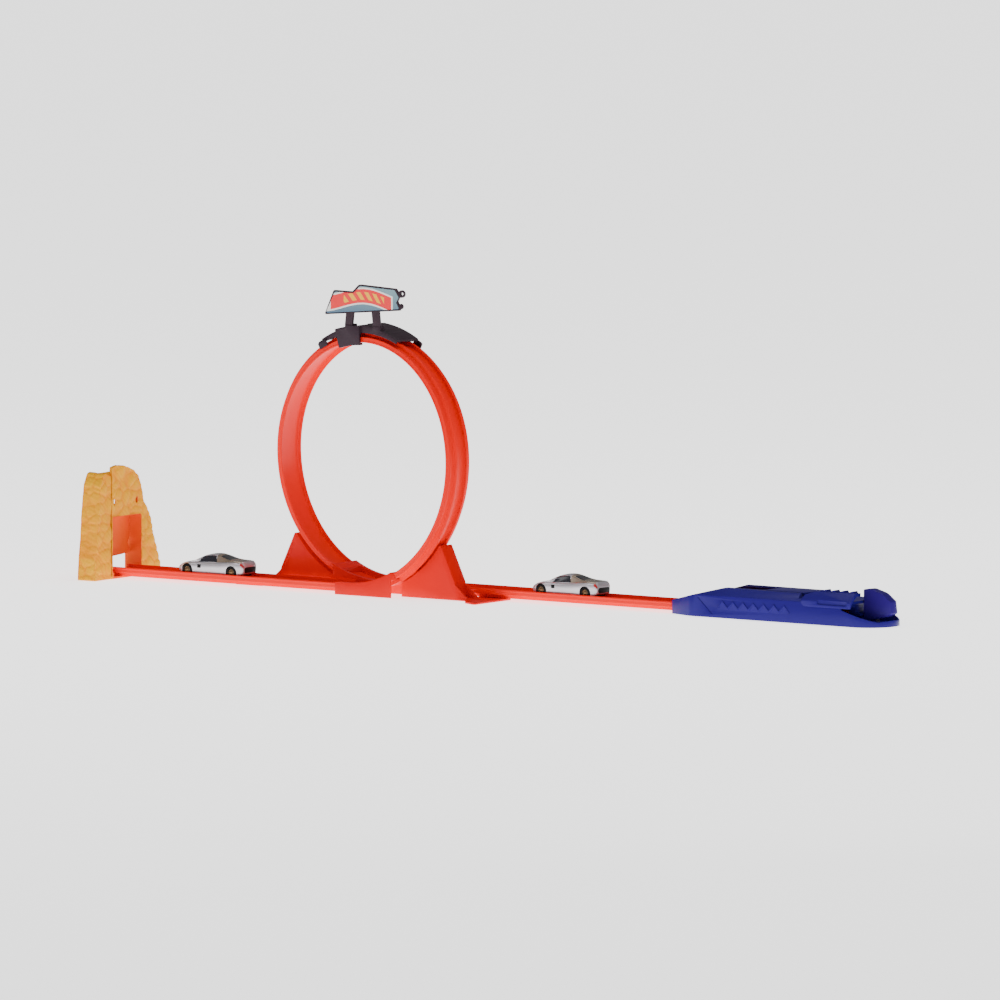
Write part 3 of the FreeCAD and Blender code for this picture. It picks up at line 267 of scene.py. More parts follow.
TRACK_ORANGE = moulded("track_orange_plastic", (1.0, 0.006, 0.0), 0.30)
BASE_RED = moulded("base_red_plastic", (0.80, 0.001, 0.0), 0.36)
CLIP_CHARCOAL = moulded("clip_charcoal_plastic", (0.034, 0.019, 0.028), 0.42,
                        grain_depth=0.00005)
LAUNCHER_BLUE = moulded("launcher_blue_plastic", (0.020, 0.008, 0.19), 0.33)
LEVER_VIOLET = moulded("lever_violet_plastic", (0.026, 0.006, 0.18), 0.30)
CHASSIS_BLACK = moulded("chassis_black_plastic", (0.010, 0.010, 0.011), 0.5)
# Painted shade: the flap and the doorway's foot are yellow plastic in deep shade, painted a deep
# orange here.
FLAP_SHADE_ORANGE = moulded("flap_painted_shade_orange", (0.95, 0.12, 0.002), 0.5, grain=0.004,
                     grain_depth=0.0004)
print("plastics made:", len(bpy.data.materials))


# %% [markdown]
# ## Turning arrays into pieces
# A surface is a grid of points, rows by columns. One function numbers the grid's faces,
# another puts points and faces into a mesh, and a third says which body a piece rides on
# and which CAD nodes it stands for.

# %% Grid and piece helpers
def grid_faces(rows, columns, wrap_rows=False, wrap_columns=False):
    """Quads between neighbouring grid points; wrapping joins the last line to the first."""
    row = np.arange(rows if wrap_rows else rows - 1)
    column = np.arange(columns if wrap_columns else columns - 1)
    i, j = np.meshgrid(row, column, indexing="ij")
    after_i = (i + 1) % rows
    after_j = (j + 1) % columns
    corners = np.stack([i * columns + j, i * columns + after_j,
                        after_i * columns + after_j, after_i * columns + j], axis=-1)
    return corners.reshape(-1, 4)


def make_piece(name, points, faces, material, sharp=40.0, outward=True):
    """Mesh object from points in metres and a list of faces, smooth but for sharp edges."""
    mesh = bpy.data.meshes.new(name)
    mesh.from_pydata(np.asarray(points).reshape(-1, 3).tolist(), [], [list(f) for f in faces])
    if outward:
        solid = bmesh.new()
        solid.from_mesh(mesh)
        bmesh.ops.remove_doubles(solid, verts=solid.verts, dist=1e-6)
        bmesh.ops.recalc_face_normals(solid, faces=solid.faces)
        solid.to_mesh(mesh)
        solid.free()
    finish_mesh(mesh, sharp)
    mesh.materials.append(material)
    piece = bpy.data.objects.new(name, mesh)
    bpy.context.scene.collection.objects.link(piece)
    return piece


def finish_mesh(mesh, sharp):
    mesh.shade_smooth()
    mesh.set_sharp_from_angle(angle=math.radians(sharp))


def settle(piece, body, slot, *nodes):
    """The piece rides on a body and stands for CAD nodes; the slot argument is not used."""
    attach(piece, body)
    if nodes:
        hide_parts(*nodes)
    return piece


def apply_modifiers(piece):
    """Bake a piece's modifiers into its mesh."""
    graph = bpy.context.evaluated_depsgraph_get()
    baked = bpy.data.meshes.new_from_object(piece.evaluated_get(graph))
    piece.modifiers.clear()
    piece.data = baked
    return piece


def box_mm(node):
    """A CAD node's lowest and highest corners, in millimetres, as arrays."""
    low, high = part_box(node)
    return np.array(low) / MM, np.array(high) / MM


# %% [markdown]
# ## The track's profile
# The real track is one long extrusion: a running floor, two rails with a bead along the
# top, and two hooked ribs underneath that take a connector. We draw that section once,
# round its corners, and carry it along a straight line or round the loop.

# %% Rounded section
def round_corners(corners, radii, steps=4):
    """Replace each corner by an arc tangent to both sides: centre on the bisector."""
    corners = np.asarray(corners, float)
    before = np.roll(corners, 1, 0) - corners
    after = np.roll(corners, -1, 0) - corners
    before /= np.linalg.norm(before, axis=1, keepdims=True)
    after /= np.linalg.norm(after, axis=1, keepdims=True)
    half = np.arccos(np.clip((before * after).sum(1), -1, 1)) / 2
    bisector = before + after
    bisector /= np.linalg.norm(bisector, axis=1, keepdims=True)
    radii = np.asarray(radii, float)
    middle = corners + bisector * (radii / np.sin(half))[:, None]
    start = corners + before * (radii / np.tan(half))[:, None] - middle
    end = corners + after * (radii / np.tan(half))[:, None] - middle
    share = np.linspace(0, 1, steps + 1)[None, :, None]
    blend = start[:, None] * (1 - share) + end[:, None] * share
    blend *= (radii[:, None] / np.maximum(np.linalg.norm(blend, axis=2), 1e-9))[..., None]
    return (middle[:, None] + blend).reshape(-1, 2)


track_low, track_high = box_mm("track_gate_side")
HALF_TRACK = (track_high[1] - track_low[1]) / 2
TRACK_TALL = track_high[2] - track_low[2]
RAIL_THICK, BEAD, FLOOR_UNDER, FLOOR_TOP = 2.0, 0.6, 4.2, 6.2
half_section = [(10.0, FLOOR_UNDER, .15), (10.0, 0.8, .1), (7.6, 0.8, .1), (7.6, 0, .1),
                (11.4, 0, .2), (11.4, FLOOR_UNDER, .3), (HALF_TRACK - BEAD, FLOOR_UNDER, .6),
                (HALF_TRACK - BEAD, TRACK_TALL - 2.4, .3), (HALF_TRACK, TRACK_TALL - 1.7, .5),
                (HALF_TRACK, TRACK_TALL, .8), (HALF_TRACK - RAIL_THICK, TRACK_TALL, .6),
                (HALF_TRACK - RAIL_THICK, FLOOR_TOP, 1.2)]
section_corners = half_section + [(-u, v, r) for u, v, r in reversed(half_section)]
track_profile = round_corners([(u, v) for u, v, _ in section_corners],
                              [r for _, _, r in section_corners])
print("track section:", len(track_profile), "points,", HALF_TRACK * 2, "mm wide")


# %% [markdown]
# ## Carrying the section along
# A sweep needs three things at each step of its path: the point itself, the direction
# that counts as across, and the direction that counts as up from the floor. Straight
# track keeps both directions fixed, and the two ends are closed with one face each.

# %% Sweep a section along a path
def swept(name, path, across, inward, profile, material, sharp=38.0):
    """Point = path + across * u + inward * v for every path step and section point."""
    u = profile[None, :, 0, None]
    v = profile[None, :, 1, None]
    points = path[:, None] + across[:, None] * u + inward[:, None] * v
    rows, columns = points.shape[:2]
    faces = grid_faces(rows, columns, wrap_columns=True).tolist()
    faces.append(list(range(columns)))
    faces.append(list(range((rows - 1) * columns, rows * columns)))
    return make_piece(name, points * MM, faces, material, sharp)


def straight_track(name, node):
    """The section carried from one end of a CAD node's box to the other."""
    low, high = box_mm(node)
    steps = np.linspace(low[0] + 0.02, high[0] - 0.02, 12)
    path = np.stack([steps, np.full_like(steps, (low[1] + high[1]) / 2),
                     np.full_like(steps, low[2])], 1)
    across = np.tile([0.0, 1.0, 0.0], (len(steps), 1))
    inward = np.tile([0.0, 0.0, 1.0], (len(steps), 1))
    piece = swept(name, path, across, inward, track_profile, TRACK_ORANGE)
    return settle(piece, "track_set", "orange_track", node)


straight_track("gate_run", "track_gate_side")
straight_track("launch_run", "track_launcher_side")
straight_track("launcher_floor", "launcher_lane")

# %% [markdown]
# ## Round the loop
# The loop is an ellipse that also drifts sideways, so that the car leaves beside the lane
# it came in on. The same section is carried round it, and "up" turns to face the middle.

# %% The loop's path
_, loop_high = box_mm("loop_strand_up")
lane_low, lane_high = box_mm("track_launcher_side")
LANE_SHIFT = (lane_low[1] + lane_high[1]) / 2
LIFT = lane_low[2]
HALF_LONG = 133.6
HALF_TALL = (loop_high[2] - LIFT) / 2
RAMP_DEGREES = 27.5
END_GAP = 0.12


def loop_path(degrees):
    """Ellipse in X and Z that drifts in Y as the cosine of half the turn.

    The along direction is the path's derivative; across is level Y made square to it.
    """
    turn = np.radians(degrees)
    path = np.stack([-HALF_LONG * np.sin(turn), LANE_SHIFT * np.cos(turn / 2),
                     LIFT + HALF_TALL * (1 - np.cos(turn))], 1)
    along = np.stack([-HALF_LONG * np.cos(turn), -LANE_SHIFT / 2 * np.sin(turn / 2),
                      HALF_TALL * np.sin(turn)], 1)
    along /= np.linalg.norm(along, axis=1, keepdims=True)
    across = np.array([[0.0, 1.0, 0.0]]) - along * along[:, 1:2]
    across /= np.linalg.norm(across, axis=1, keepdims=True)
    return path, across, np.cross(across, along)


for name, node, start, end in (
        ("loop_rise", "loop_strand_up", RAMP_DEGREES, 180 - END_GAP),
        ("loop_fall", "loop_strand_down", 180 + END_GAP, 360 - RAMP_DEGREES)):
    strand = swept(name, *loop_path(np.linspace(start, end, 120)), track_profile, TRACK_ORANGE)
    settle(strand, "track_set", "orange_track", node)
print("loop:", 2 * HALF_LONG, "mm long and", round(2 * HALF_TALL, 1), "mm tall")

# %% [markdown]
# ## Moulded parts with softened edges
# A mould never leaves a knife edge. The CAD shapes of the base, clip and launcher are
# right, so each is copied, its flat triangles are merged back into whole faces, and a
# narrow bevel catches the light along every edge.

# %% Soften the CAD shapes
def softened(node, body, slot, material, width=0.35, flat=0.8):
    """Copy of a CAD node with its flat areas merged and its edges bevelled."""
    source = frame["nodes"][node].data
    solid = bmesh.new()
    solid.from_mesh(source)
    bmesh.ops.remove_doubles(solid, verts=solid.verts, dist=2e-6)
    bmesh.ops.dissolve_limit(solid, angle_limit=math.radians(flat), verts=solid.verts,
                             edges=solid.edges)
    mesh = bpy.data.meshes.new(node + "_soft")
    solid.to_mesh(mesh)
    solid.free()
    mesh.materials.clear()
    mesh.materials.append(material)
    piece = bpy.data.objects.new(node + "_soft", mesh)
    bpy.context.scene.collection.objects.link(piece)
    edge = piece.modifiers.new("edge", "BEVEL")
    edge.width = width * MM
    edge.segments = 2
    edge.limit_method = "ANGLE"
    edge.angle_limit = math.radians(32)
    apply_modifiers(piece)
    finish_mesh(piece.data, 34.0)
    return settle(piece, body, slot, node)


for node, width in (("base_core", 0.45), ("support_gate_side", 0.5),
                    ("support_launcher_side", 0.5)):
    softened(node, "track_set", "red_base", BASE_RED, width)
softened("top_clip", "track_set", "charcoal_clip", CLIP_CHARCOAL, 0.4)
softened("sign_plate", "track_set", "charcoal_clip", CLIP_CHARCOAL, 0.3)
for node in ("launcher_base", "launcher_cover"):
    softened(node, "track_set", "blue_launcher", LAUNCHER_BLUE, 0.4)
for node in ("slider_handle", "slider_carriage"):
    softened(node, "slider", "blue_launcher", LAUNCHER_BLUE, 0.4)
softened("trigger_lever", "trigger", "violet_lever", LEVER_VIOLET, 0.9)

# %% [markdown]
# ## Small parts that keep their CAD shape
# Pins, axles, screws, tongues and chassis are already right, so they only get a material.
# A CAD object's slots may be filled, while its place and its mesh stay as they are.

# %% Finishes for the small parts that keep their CAD shape
STEEL = Finish("plain_steel", Metallic=1.0, IOR=2.5)
brushed = STEEL.noise(0.0006, 3.0, 0.6, stretch=(1, 0.1, 1))
STEEL.feed(Base_Color=STEEL.mix(brushed, (0.42, 0.42, 0.43), (0.66, 0.65, 0.63)),
           Roughness=brushed * 0.25 + 0.22, Normal=STEEL.bump(brushed, 0.00002))
for name, node in frame["nodes"].items():
    if name.startswith("tongue"):
        node.data.materials.clear()
        node.data.materials.append(BASE_RED)
    if name.endswith("_axle") or name.startswith("launcher_screw") or name.endswith("_pin"):
        node.data.materials.clear()
        node.data.materials.append(STEEL.material)
    if name.endswith("_chassis"):
        node.data.materials.clear()
        node.data.materials.append(CHASSIS_BLACK)
    # The doorway's foot takes the flap's painted shade orange.
    if name == "gate_foot":
        node.data.materials.clear()
        node.data.materials.append(FLAP_SHADE_ORANGE)
softened("gate_flap", "flap", "amber_flap", FLAP_SHADE_ORANGE, 0.35)

# %% [markdown]
# ## Craggy rock
# The gate is a thin moulded shell that looks like stacked stones. The copy is remeshed to
# an even skin first. Random seed points split space into stones. A point sinks with its
# distance from the nearest seed, which rounds each stone, and sinks further where two
# seeds are equally far, which is a crack. Each stone also has its own level and tilt.
# Only the outside moves, and only inwards.
# The material paints shade from these numbers: a darker orange in the cracks and a red-orange on
# the inner faces.

# %% Rock relief
ROCK_SEED = 7
ROCK_DEPTH = 2.3
STONE_SIZE = 14.0
ROCK_VOXEL = 1.15
CRACK_WIDTH = 4.6
rock_low, rock_high = box_mm("gate_main_shell")
near_low, near_high = box_mm("gate_near_shell")
rock_low = np.minimum(rock_low, near_low)
rock_high = np.maximum(rock_high, near_high)
dice = np.random.default_rng(ROCK_SEED)
stone_count = int(np.prod((rock_high - rock_low + 16) / STONE_SIZE) * 1.1)
stones = dice.uniform(rock_low - 8, rock_high + 8, (stone_count, 3))
tilts = dice.normal(0, 1, (stone_count, 3))
levels = dice.uniform(0, 1, stone_count)


def rock_relief(points):
    """Depth below the skin, 0 to 1, for points in millimetres.

    Domes: the square of the distance to the nearest seed. Cracks: one minus the smooth gap
    between the two nearest seeds. Levels: one number for each stone. Facets: the dot
    product of a stone's tilt with the offset from its seed. Waves: a product of two sines
    that crosses the stones.
    """
    squashed = np.array([1.0, 1.0, 1.25])
    depth = np.empty(len(points))
    for part in np.array_split(np.arange(len(points)), max(1, len(points) // 4000)):
        gap = np.linalg.norm((points[part, None] - stones[None]) * squashed, axis=2)
        order = np.argpartition(gap, 2, axis=1)[:, :2]
        two = np.take_along_axis(gap, order, 1)
        nearest = order[np.arange(len(part)), two.argmin(1)]
        crack = np.clip((two.max(1) - two.min(1)) / CRACK_WIDTH, 0, 1)
        crack = 1 - crack * (2 - crack)
        dome = np.clip(two.min(1) / (0.75 * STONE_SIZE), 0, 1) ** 2
        facet = ((points[part] - stones[nearest]) * tilts[nearest]).sum(1) / STONE_SIZE
        waves = np.sin(points[part] @ np.array([[0.7, 0.2, 0.5], [-0.3, 0.8, 0.6]]).T)
        depth[part] = (0.30 * crack + 0.34 * dome + 0.20 * levels[nearest]
                       + 0.12 * np.clip(facet + 0.5, 0, 1) + 0.10 * waves.prod(1))
    return np.clip(depth, 0, 1)


ROCK_YELLOW = Finish("rock_yellow_plastic", IOR=1.46, Specular_IOR_Level=0.10)
hollow = ROCK_YELLOW.node("ShaderNodeAttribute", {"attribute_name": "hollow"}, output=2)
inside = ROCK_YELLOW.node("ShaderNodeAttribute", {"attribute_name": "inside"}, output=2)
mottle = ROCK_YELLOW.noise(0.012, 5.0, 0.6)
grit = ROCK_YELLOW.noise(0.0014, 3.0, 0.6)
skin = ROCK_YELLOW.mix(mottle, (0.90, 0.36, 0.0), (0.96, 0.52, 0.0))
# Painted shade: the deep parts of the relief are painted a darker orange, standing in for shade in
# the cracks.
skin = ROCK_YELLOW.mix(hollow * hollow * 0.8, skin, (0.92, 0.24, 0.0))
# Painted shade: the inner faces of the shell are painted red-orange, standing in for deep shade and
# red light bounced from the track.
skin = ROCK_YELLOW.mix(inside, skin, (0.90, 0.11, 0.001))
ROCK_YELLOW.feed(Base_Color=skin, Roughness=0.50 + (mottle - 0.5) * 0.2,
                 Normal=ROCK_YELLOW.bump(grit, 0.00022, 0.8))


def craggy(node, piece_name, heart):
    """Voxel skin of a gate shell, pushed inwards by the rock relief on its outside."""
    mesh = frame["nodes"][node].data.copy()
    solid = bmesh.new()
    solid.from_mesh(mesh)
    bmesh.ops.remove_doubles(solid, verts=solid.verts, dist=2e-6)
    solid.to_mesh(mesh)
    solid.free()
    piece = bpy.data.objects.new(piece_name, mesh)
    bpy.context.scene.collection.objects.link(piece)
    even = piece.modifiers.new("even", "REMESH")
    even.mode = "VOXEL"
    even.voxel_size = ROCK_VOXEL * MM
    apply_modifiers(piece)
    mesh = piece.data
    count = len(mesh.vertices)
    points = np.empty(count * 3)
    mesh.vertices.foreach_get("co", points)
    points = points.reshape(-1, 3) / MM
    normals = np.empty(count * 3)
    mesh.vertices.foreach_get("normal", normals)
    normals = normals.reshape(-1, 3)
    outward = normals[:, 1] * (points[:, 1] - heart[0]) + normals[:, 2] * (points[:, 2] - heart[1])
    at_front = np.clip((points[:, 0] - (rock_high[0] - 1.2)) / 1.0, 0, 1)
    side = np.clip(outward / 12.0, 0, 1) * np.clip(normals[:, 0] + 1.0, 0, 1)
    doorway = ((points[:, 1] > door_low - 0.6) & (points[:, 1] < door_high + 0.6)
               & (points[:, 2] < door_top + 9.0))
    outside = np.where(doorway & (at_front < 0.5), 0.0, np.maximum(at_front, side))
    near_ground = np.clip(points[:, 2] / 6.0, 0.15, 1)
    relief = rock_relief(points)
    push = ROCK_DEPTH * relief * outside * near_ground
    mesh.vertices.foreach_set("co", ((points - normals * push[:, None]) * MM).ravel())
    # Painted shade: these two numbers make the material darker in the cracks and red-orange on the
    # inner faces.
    for label, values in (("hollow", relief * outside), ("inside", 1 - outside)):
        layer = mesh.attributes.new(label, "FLOAT", "POINT")
        layer.data.foreach_set("value", values.astype(np.float32))
    mesh.materials.clear()
    mesh.materials.append(ROCK_YELLOW.material)
    finish_mesh(mesh, 60.0)
    print(piece_name, "has", count, "points")
    return settle(piece, "track_set", "yellow_rock", node)


foot_low, foot_high = box_mm("gate_foot")
door_low, door_high = foot_low[1], foot_high[1]
door_top = 68.5               # the lintel, above the table
craggy("gate_near_shell", "rock_near", (-70.0, 60.0))
craggy("gate_main_shell", "rock_main", (-20.0, 40.0))

# %% [markdown]
# ## The printed sign
# The sign carries a sticker. A printed picture could be an image, but stripes and checks
# are simple sums of X and Z, so the shader draws them: a curving red stripe edged in white,
# a row of orange checks along its middle, and a blue ground that fades towards the top.

# %% Sticker print
sign_low, sign_high = box_mm("sign_label")
STICKER = Finish("sticker_print", Coat_Roughness=0.1, IOR=1.5)
sign_x, _, sign_z = STICKER.axes()
along = (sign_x - float(sign_low[0]) * MM) / float((sign_high - sign_low)[0] * MM)
tall = (sign_z - float(sign_low[2]) * MM) / float((sign_high - sign_low)[2] * MM)
dots = STICKER.noise(0.0006, 1.0)
ground = STICKER.mix(tall + (dots - 0.5) * 0.3, (0.07, 0.15, 0.24), (0.20, 0.34, 0.38))
sweep = tall - 0.50 - (along * 5.2 - 1.2).wave() * 0.17
band = (sweep.size() < 0.235) * (along > 0.06) * (along < 0.90)
ground = STICKER.mix(((sweep.size() < 0.29) * (along < 0.92)) * 0.9, ground, (0.95, 0.93, 0.88))
print_colour = STICKER.mix(band, ground, (0.9, 0.002, 0.008))
chips = ((along * 9.0 + sweep * 2.2).remainder(1.0) < 0.52) * (sweep.size() < 0.135)
chips = chips * (along > 0.24) * (along < 0.80)
print_colour = STICKER.mix(chips, print_colour, (1.0, 0.48, 0.0))
STICKER.feed(Base_Color=print_colour, Roughness=0.26 + dots * 0.08)
label = frame["nodes"]["sign_label"]
label.data.materials.clear()
label.data.materials.append(STICKER.material)
print("sticker nodes:", len(STICKER.tree.nodes))

# %% [markdown]
# ## Elastic and spring
# Two rubber runs pull the handle forward and a small coil lifts the lever. They change
# length as their joints move; here each is one closed mesh of its own.

# %% Elastic runs and the lever's coil
RUBBER = moulded("band_rubber", srgb(38, 36, 38), 0.6, grain=0.0006)
for node in ("elastic_near", "elastic_far"):
    low, high = box_mm(node)
    steps = np.linspace(low[0], high[0], 24)
    middle = (low + high) / 2
    path = np.stack([steps, np.full_like(steps, middle[1]), np.full_like(steps, middle[2])], 1)
    half = (high - low)[1] / 2
    rounded = round_corners([(-half, -half), (half, -half), (half, half), (-half, half)],
                            [0.9] * 4)
    run = swept(node + "_run", path, np.tile([0.0, 1.0, 0.0], (24, 1)),
                np.tile([0.0, 0.0, 1.0], (24, 1)), rounded, RUBBER)
    settle(run, "track_set", "elastic", node)
    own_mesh(run)


def coil(name, low, high, wire, turns, material):
    """Circle of wire carried round a helix that rises from low to high."""
    middle = (low + high) / 2
    radius = (high - low)[0] / 2 - wire
    turn = np.linspace(0, turns * 2 * np.pi, turns * 22)
    rise = np.linspace(low[2] + wire, high[2] - wire, len(turn))
    outward = np.stack([np.cos(turn), np.sin(turn), np.zeros_like(turn)], 1)
    path = outward * radius + np.stack([np.full_like(turn, middle[0]),
                                        np.full_like(turn, middle[1]), rise], 1)
    ring = np.linspace(0, 2 * np.pi, 10, endpoint=False)
    circle = np.stack([np.cos(ring), np.sin(ring)], 1) * wire
    return swept(name, path, outward, np.tile([0.0, 0.0, 1.0], (len(turn), 1)), circle, material)


spring_low, spring_high = box_mm("trigger_spring")
spring = settle(coil("lever_coil", spring_low, spring_high, 0.38, 6, STEEL.material),
                "track_set", "steel", "trigger_spring")
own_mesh(spring)

# %% [markdown]
# ## Little die-cast cars
# A car body is one closed surface: stations along its length, and at each station a
# section that goes from the sill over the shoulder to the roof. The lines that a designer
# would draw, such as roof height, shoulder height and half width, are curves along X.

# %% Car body lines
PAINT = Finish("silver_metallic_paint", Metallic=0.55, Coat_Weight=0.6, Coat_Roughness=0.08)
flake = PAINT.noise(0.0003, 2.0, 0.7)
warm = PAINT.noise(0.02, 2.0)
PAINT.feed(Base_Color=PAINT.mix(warm, srgb(196, 192, 202), srgb(218, 212, 216)),
           Roughness=0.24 + (flake - 0.5) * 0.16, Normal=PAINT.bump(flake, 0.00001))
GLAZING = Finish("dark_glazing", Coat_Weight=0.5, Coat_Roughness=0.05)
tint = GLAZING.noise(0.01, 2.0)
GLAZING.feed(Base_Color=GLAZING.mix(tint, srgb(20, 20, 26), srgb(44, 42, 52)),
             Roughness=0.08 + tint * 0.06)
DECK = Finish("warm_bronze_tint", Metallic=0.7, Coat_Weight=0.6, Coat_Roughness=0.08)
streaks = DECK.noise(0.018, 3.0, 0.6, stretch=(0.5, 1, 1))
DECK.feed(Base_Color=DECK.mix(streaks, srgb(150, 130, 112), srgb(190, 172, 154)),
          Roughness=0.26 + (streaks - 0.5) * 0.12)
BLACKOUT = moulded("car_black_trim", srgb(22, 22, 24), 0.45, grain=0.0004)
LAMP = Finish("lamp_lens", Coat_Weight=1.0, Coat_Roughness=0.04, Metallic=0.3)
facets = LAMP.noise(0.001, 1.0)
LAMP.feed(Base_Color=LAMP.mix(facets, srgb(196, 202, 214), srgb(244, 246, 250)),
          Roughness=0.1 + facets * 0.1)
TAIL = Finish("tail_lens", Coat_Weight=1.0, Coat_Roughness=0.04)
tail_facets = TAIL.noise(0.001, 1.0)
TAIL.feed(Base_Color=TAIL.mix(tail_facets, srgb(150, 16, 20), srgb(206, 34, 30)),
          Roughness=0.12 + tail_facets * 0.1)

BODY_LINES = {
    "roof": [(-45, 8.8), (-43.5, 10.8), (-39, 13.4), (-33, 15.2), (-28, 16.2), (-23, 17.3),
             (-17.5, 19.9), (-10, 23.2), (-4, 24.8), (1, 25.4), (6, 25.2), (11, 24.2),
             (16, 22.7), (22, 20.8), (28, 19.6), (34, 19.1), (40, 18.7), (43.5, 17.5),
             (44.6, 15.0), (45, 12.5)],
    "belt": [(-45, 8.0), (-43, 10.0), (-36, 12.6), (-28, 14.2), (-14, 14.7), (0, 15.0),
             (14, 15.7), (26, 17.0), (38, 17.1), (43, 15.8), (45, 11.8)],
    "wide": [(-45, 8.4), (-44, 11.2), (-41, 13.4), (-36, 14.8), (-30, 15.45), (-20, 14.9),
             (-5, 14.4), (10, 14.7), (20, 15.2), (29, 15.5), (37, 15.0), (42, 13.8),
             (44.3, 12.4), (45, 11.0)],
    "cabin": [(-45, 0.64), (-30, 0.70), (-20, 0.72), (-6, 0.62), (4, 0.58), (14, 0.60),
              (24, 0.66), (34, 0.72), (45, 0.70)],
    "sill": [(-45, 5.2), (-43, 4.4), (-37, 3.2), (-30, 2.7), (30, 2.7), (38, 3.4), (43, 4.6),
             (45, 6.4)],
}


def line(name, x):
    """A body line at stations x: cubic through its points, by Hermite blending."""
    known = np.array(BODY_LINES[name], float)
    slope = np.gradient(known[:, 1], known[:, 0])
    step = np.clip(np.searchsorted(known[:, 0], x, side="right") - 1, 0, len(known) - 2)
    width = known[step + 1, 0] - known[step, 0]
    t = (x - known[step, 0]) / width
    return ((2 * t**3 - 3 * t**2 + 1) * known[step, 1] + (t**3 - 2 * t**2 + t) * width * slope[step]
            + (3 * t**2 - 2 * t**3) * known[step + 1, 1] + (t**3 - t**2) * width * slope[step + 1])


# %% [markdown]
# ### From lines to a skin
# Each station joins its knots with a smooth curve, and the stations crowd together at the
# nose and tail, where the shape turns fastest. Windows, lamps and trim are picked out by
# where a face lies on the grid, and round arches are cut through the finished skin.

# %% Car body surface
HALF_CAR = 45.0
STATIONS = 121
ROWS = 36


def car_sections():
    """Half sections: sill, flank, shoulder, cabin side and roof, sampled at even steps."""
    share = np.linspace(-1, 1, STATIONS)
    x = HALF_CAR * np.sign(share) * np.abs(share) ** 0.9
    roof, belt = line("roof", x), line("belt", x)
    wide, cabin, sill = line("wide", x), line("cabin", x), line("sill", x)
    rise = np.maximum(roof - belt, 0.4)
    knots = [(0.0, sill), (0.84, sill), (0.95, sill + 0.9), (0.985, sill + (belt - sill) * 0.40),
             (1.0, sill + (belt - sill) * 0.62), (0.97, belt - 0.9), (0.90, belt),
             (0.86, belt + rise * 0.06), (0.80, belt + rise * 0.25),
             (cabin + 0.08, belt + rise * 0.70), (cabin, belt + rise * 0.86),
             (cabin * 0.72, belt + rise * 0.965), (0.0, roof)]
    y = np.stack([np.broadcast_to(k[0], x.shape) * wide for k in knots], 1)
    z = np.stack([np.broadcast_to(k[1], x.shape) for k in knots], 1)
    steps = np.linspace(0, len(knots) - 1, ROWS)
    low = np.clip(steps.astype(int), 0, len(knots) - 2)
    t = steps - low
    before, after = np.clip(low - 1, 0, None), np.clip(low + 2, None, len(knots) - 1)

    def smooth(values):
        """Catmull-Rom blend of four neighbouring knots."""
        a, b, c, d = values[:, before], values[:, low], values[:, low + 1], values[:, after]
        return 0.5 * (2 * b + (c - a) * t + (2 * a - 5 * b + 4 * c - d) * t**2
                      + (3 * b - a - 3 * c + d) * t**3)

    return x, np.maximum(smooth(y), 0.0), smooth(z)


car_x, car_y, car_z = car_sections()
print("car body:", len(car_x), "stations of", ROWS, "rows")


def car_faces():
    """Quads over both halves, with the material of each: paint, glass, lamps, trim or deck."""
    columns = 2 * ROWS - 2
    faces = grid_faces(STATIONS, columns, wrap_columns=True)
    mid_x = (car_x[:-1] + car_x[1:]) / 2
    column = np.arange(columns)
    row = np.where(column < ROWS - 1, column + 0.5, columns - column - 0.5)
    step = row * (12.0 / (ROWS - 1))
    x, step = np.meshgrid(mid_x, step, indexing="ij")
    kind = np.zeros(x.shape, int)
    screen = (x > -20.5) & (x < -8.0) & (step > 9.7)
    rear = (x > 12.5) & (x < 24.5) & (step > 10.0)
    pane = (step > 7.5) & (step < 9.7) & (x > -17.5 + (step - 7.6) * 3.4)
    pane &= x < 8.5 - (step - 7.6) * 1.6
    kind[screen | rear | pane] = 1
    kind[(x > 7.0) & (x < 42.0) & (step > 7.2) & (kind == 0)] = 5
    kind[(x < -35.5) & (x > -42.0) & (step > 5.1) & (step < 7.8)] = 2
    kind[(x > 41.0) & (x < 44.4) & (step > 4.3) & (step < 6.2)] = 3
    kind[(x < -43.0) & (step > 1.2) & (step < 4.2)] = 4
    kind[(np.abs(x + 14.5) < 2.6) & (step > 3.6) & (step < 4.9)] = 4
    kind[(step > 0.4) & (step < 1.8) & (np.abs(x) < 43)] = 4
    return faces, kind.ravel()


car_quads, car_kinds = car_faces()
WHEEL_SPOTS = {"front": -30.5, "rear": 29.5}
ARCH_RADIUS = 7.3
ARCH_POINTS = 40
ARCH_INNER, ARCH_OUTER = 9.0, 17.0


def car_body(car, body_name):
    """The whole skin moved to the car's place, with round wheel arches cut through."""
    low, high = box_mm(car + "_shell")
    wheel_low, wheel_high = box_mm(car + "_front_wheel_near")
    shift = np.array([(low[0] + high[0]) / 2, (low[1] + high[1]) / 2, wheel_low[2]])
    half = np.stack([np.broadcast_to(car_x[:, None], car_y.shape), car_y, car_z], -1)
    other = half[:, -2:0:-1] * np.array([1, -1, 1])
    points = np.concatenate([half, other], 1) + shift
    faces = car_quads.tolist()
    columns = points.shape[1]
    faces.append(list(range(columns)))
    faces.append(list(range((STATIONS - 1) * columns, STATIONS * columns)))
    body = make_piece(car + "_skin", points * MM, faces, PAINT.material, 30.0, outward=False)
    for extra in (GLAZING.material, LAMP.material, TAIL.material, BLACKOUT, DECK.material):
        body.data.materials.append(extra)
    body.data.polygons.foreach_set("material_index", np.append(car_kinds, [4, 4]))
    solid = bmesh.new()
    solid.from_mesh(body.data)
    bmesh.ops.remove_doubles(solid, verts=solid.verts, dist=1e-7)
    bmesh.ops.recalc_face_normals(solid, faces=solid.faces)
    solid.to_mesh(body.data)
    solid.free()
    for end, spot in WHEEL_SPOTS.items():
        cut_wheel_arch(body, shift[0] + spot, shift[1], (wheel_low[2] + wheel_high[2]) / 2)
    finish_mesh(body.data, 30.0)
    return settle(body, body_name, "silver_body", car + "_shell", car + "_glass")


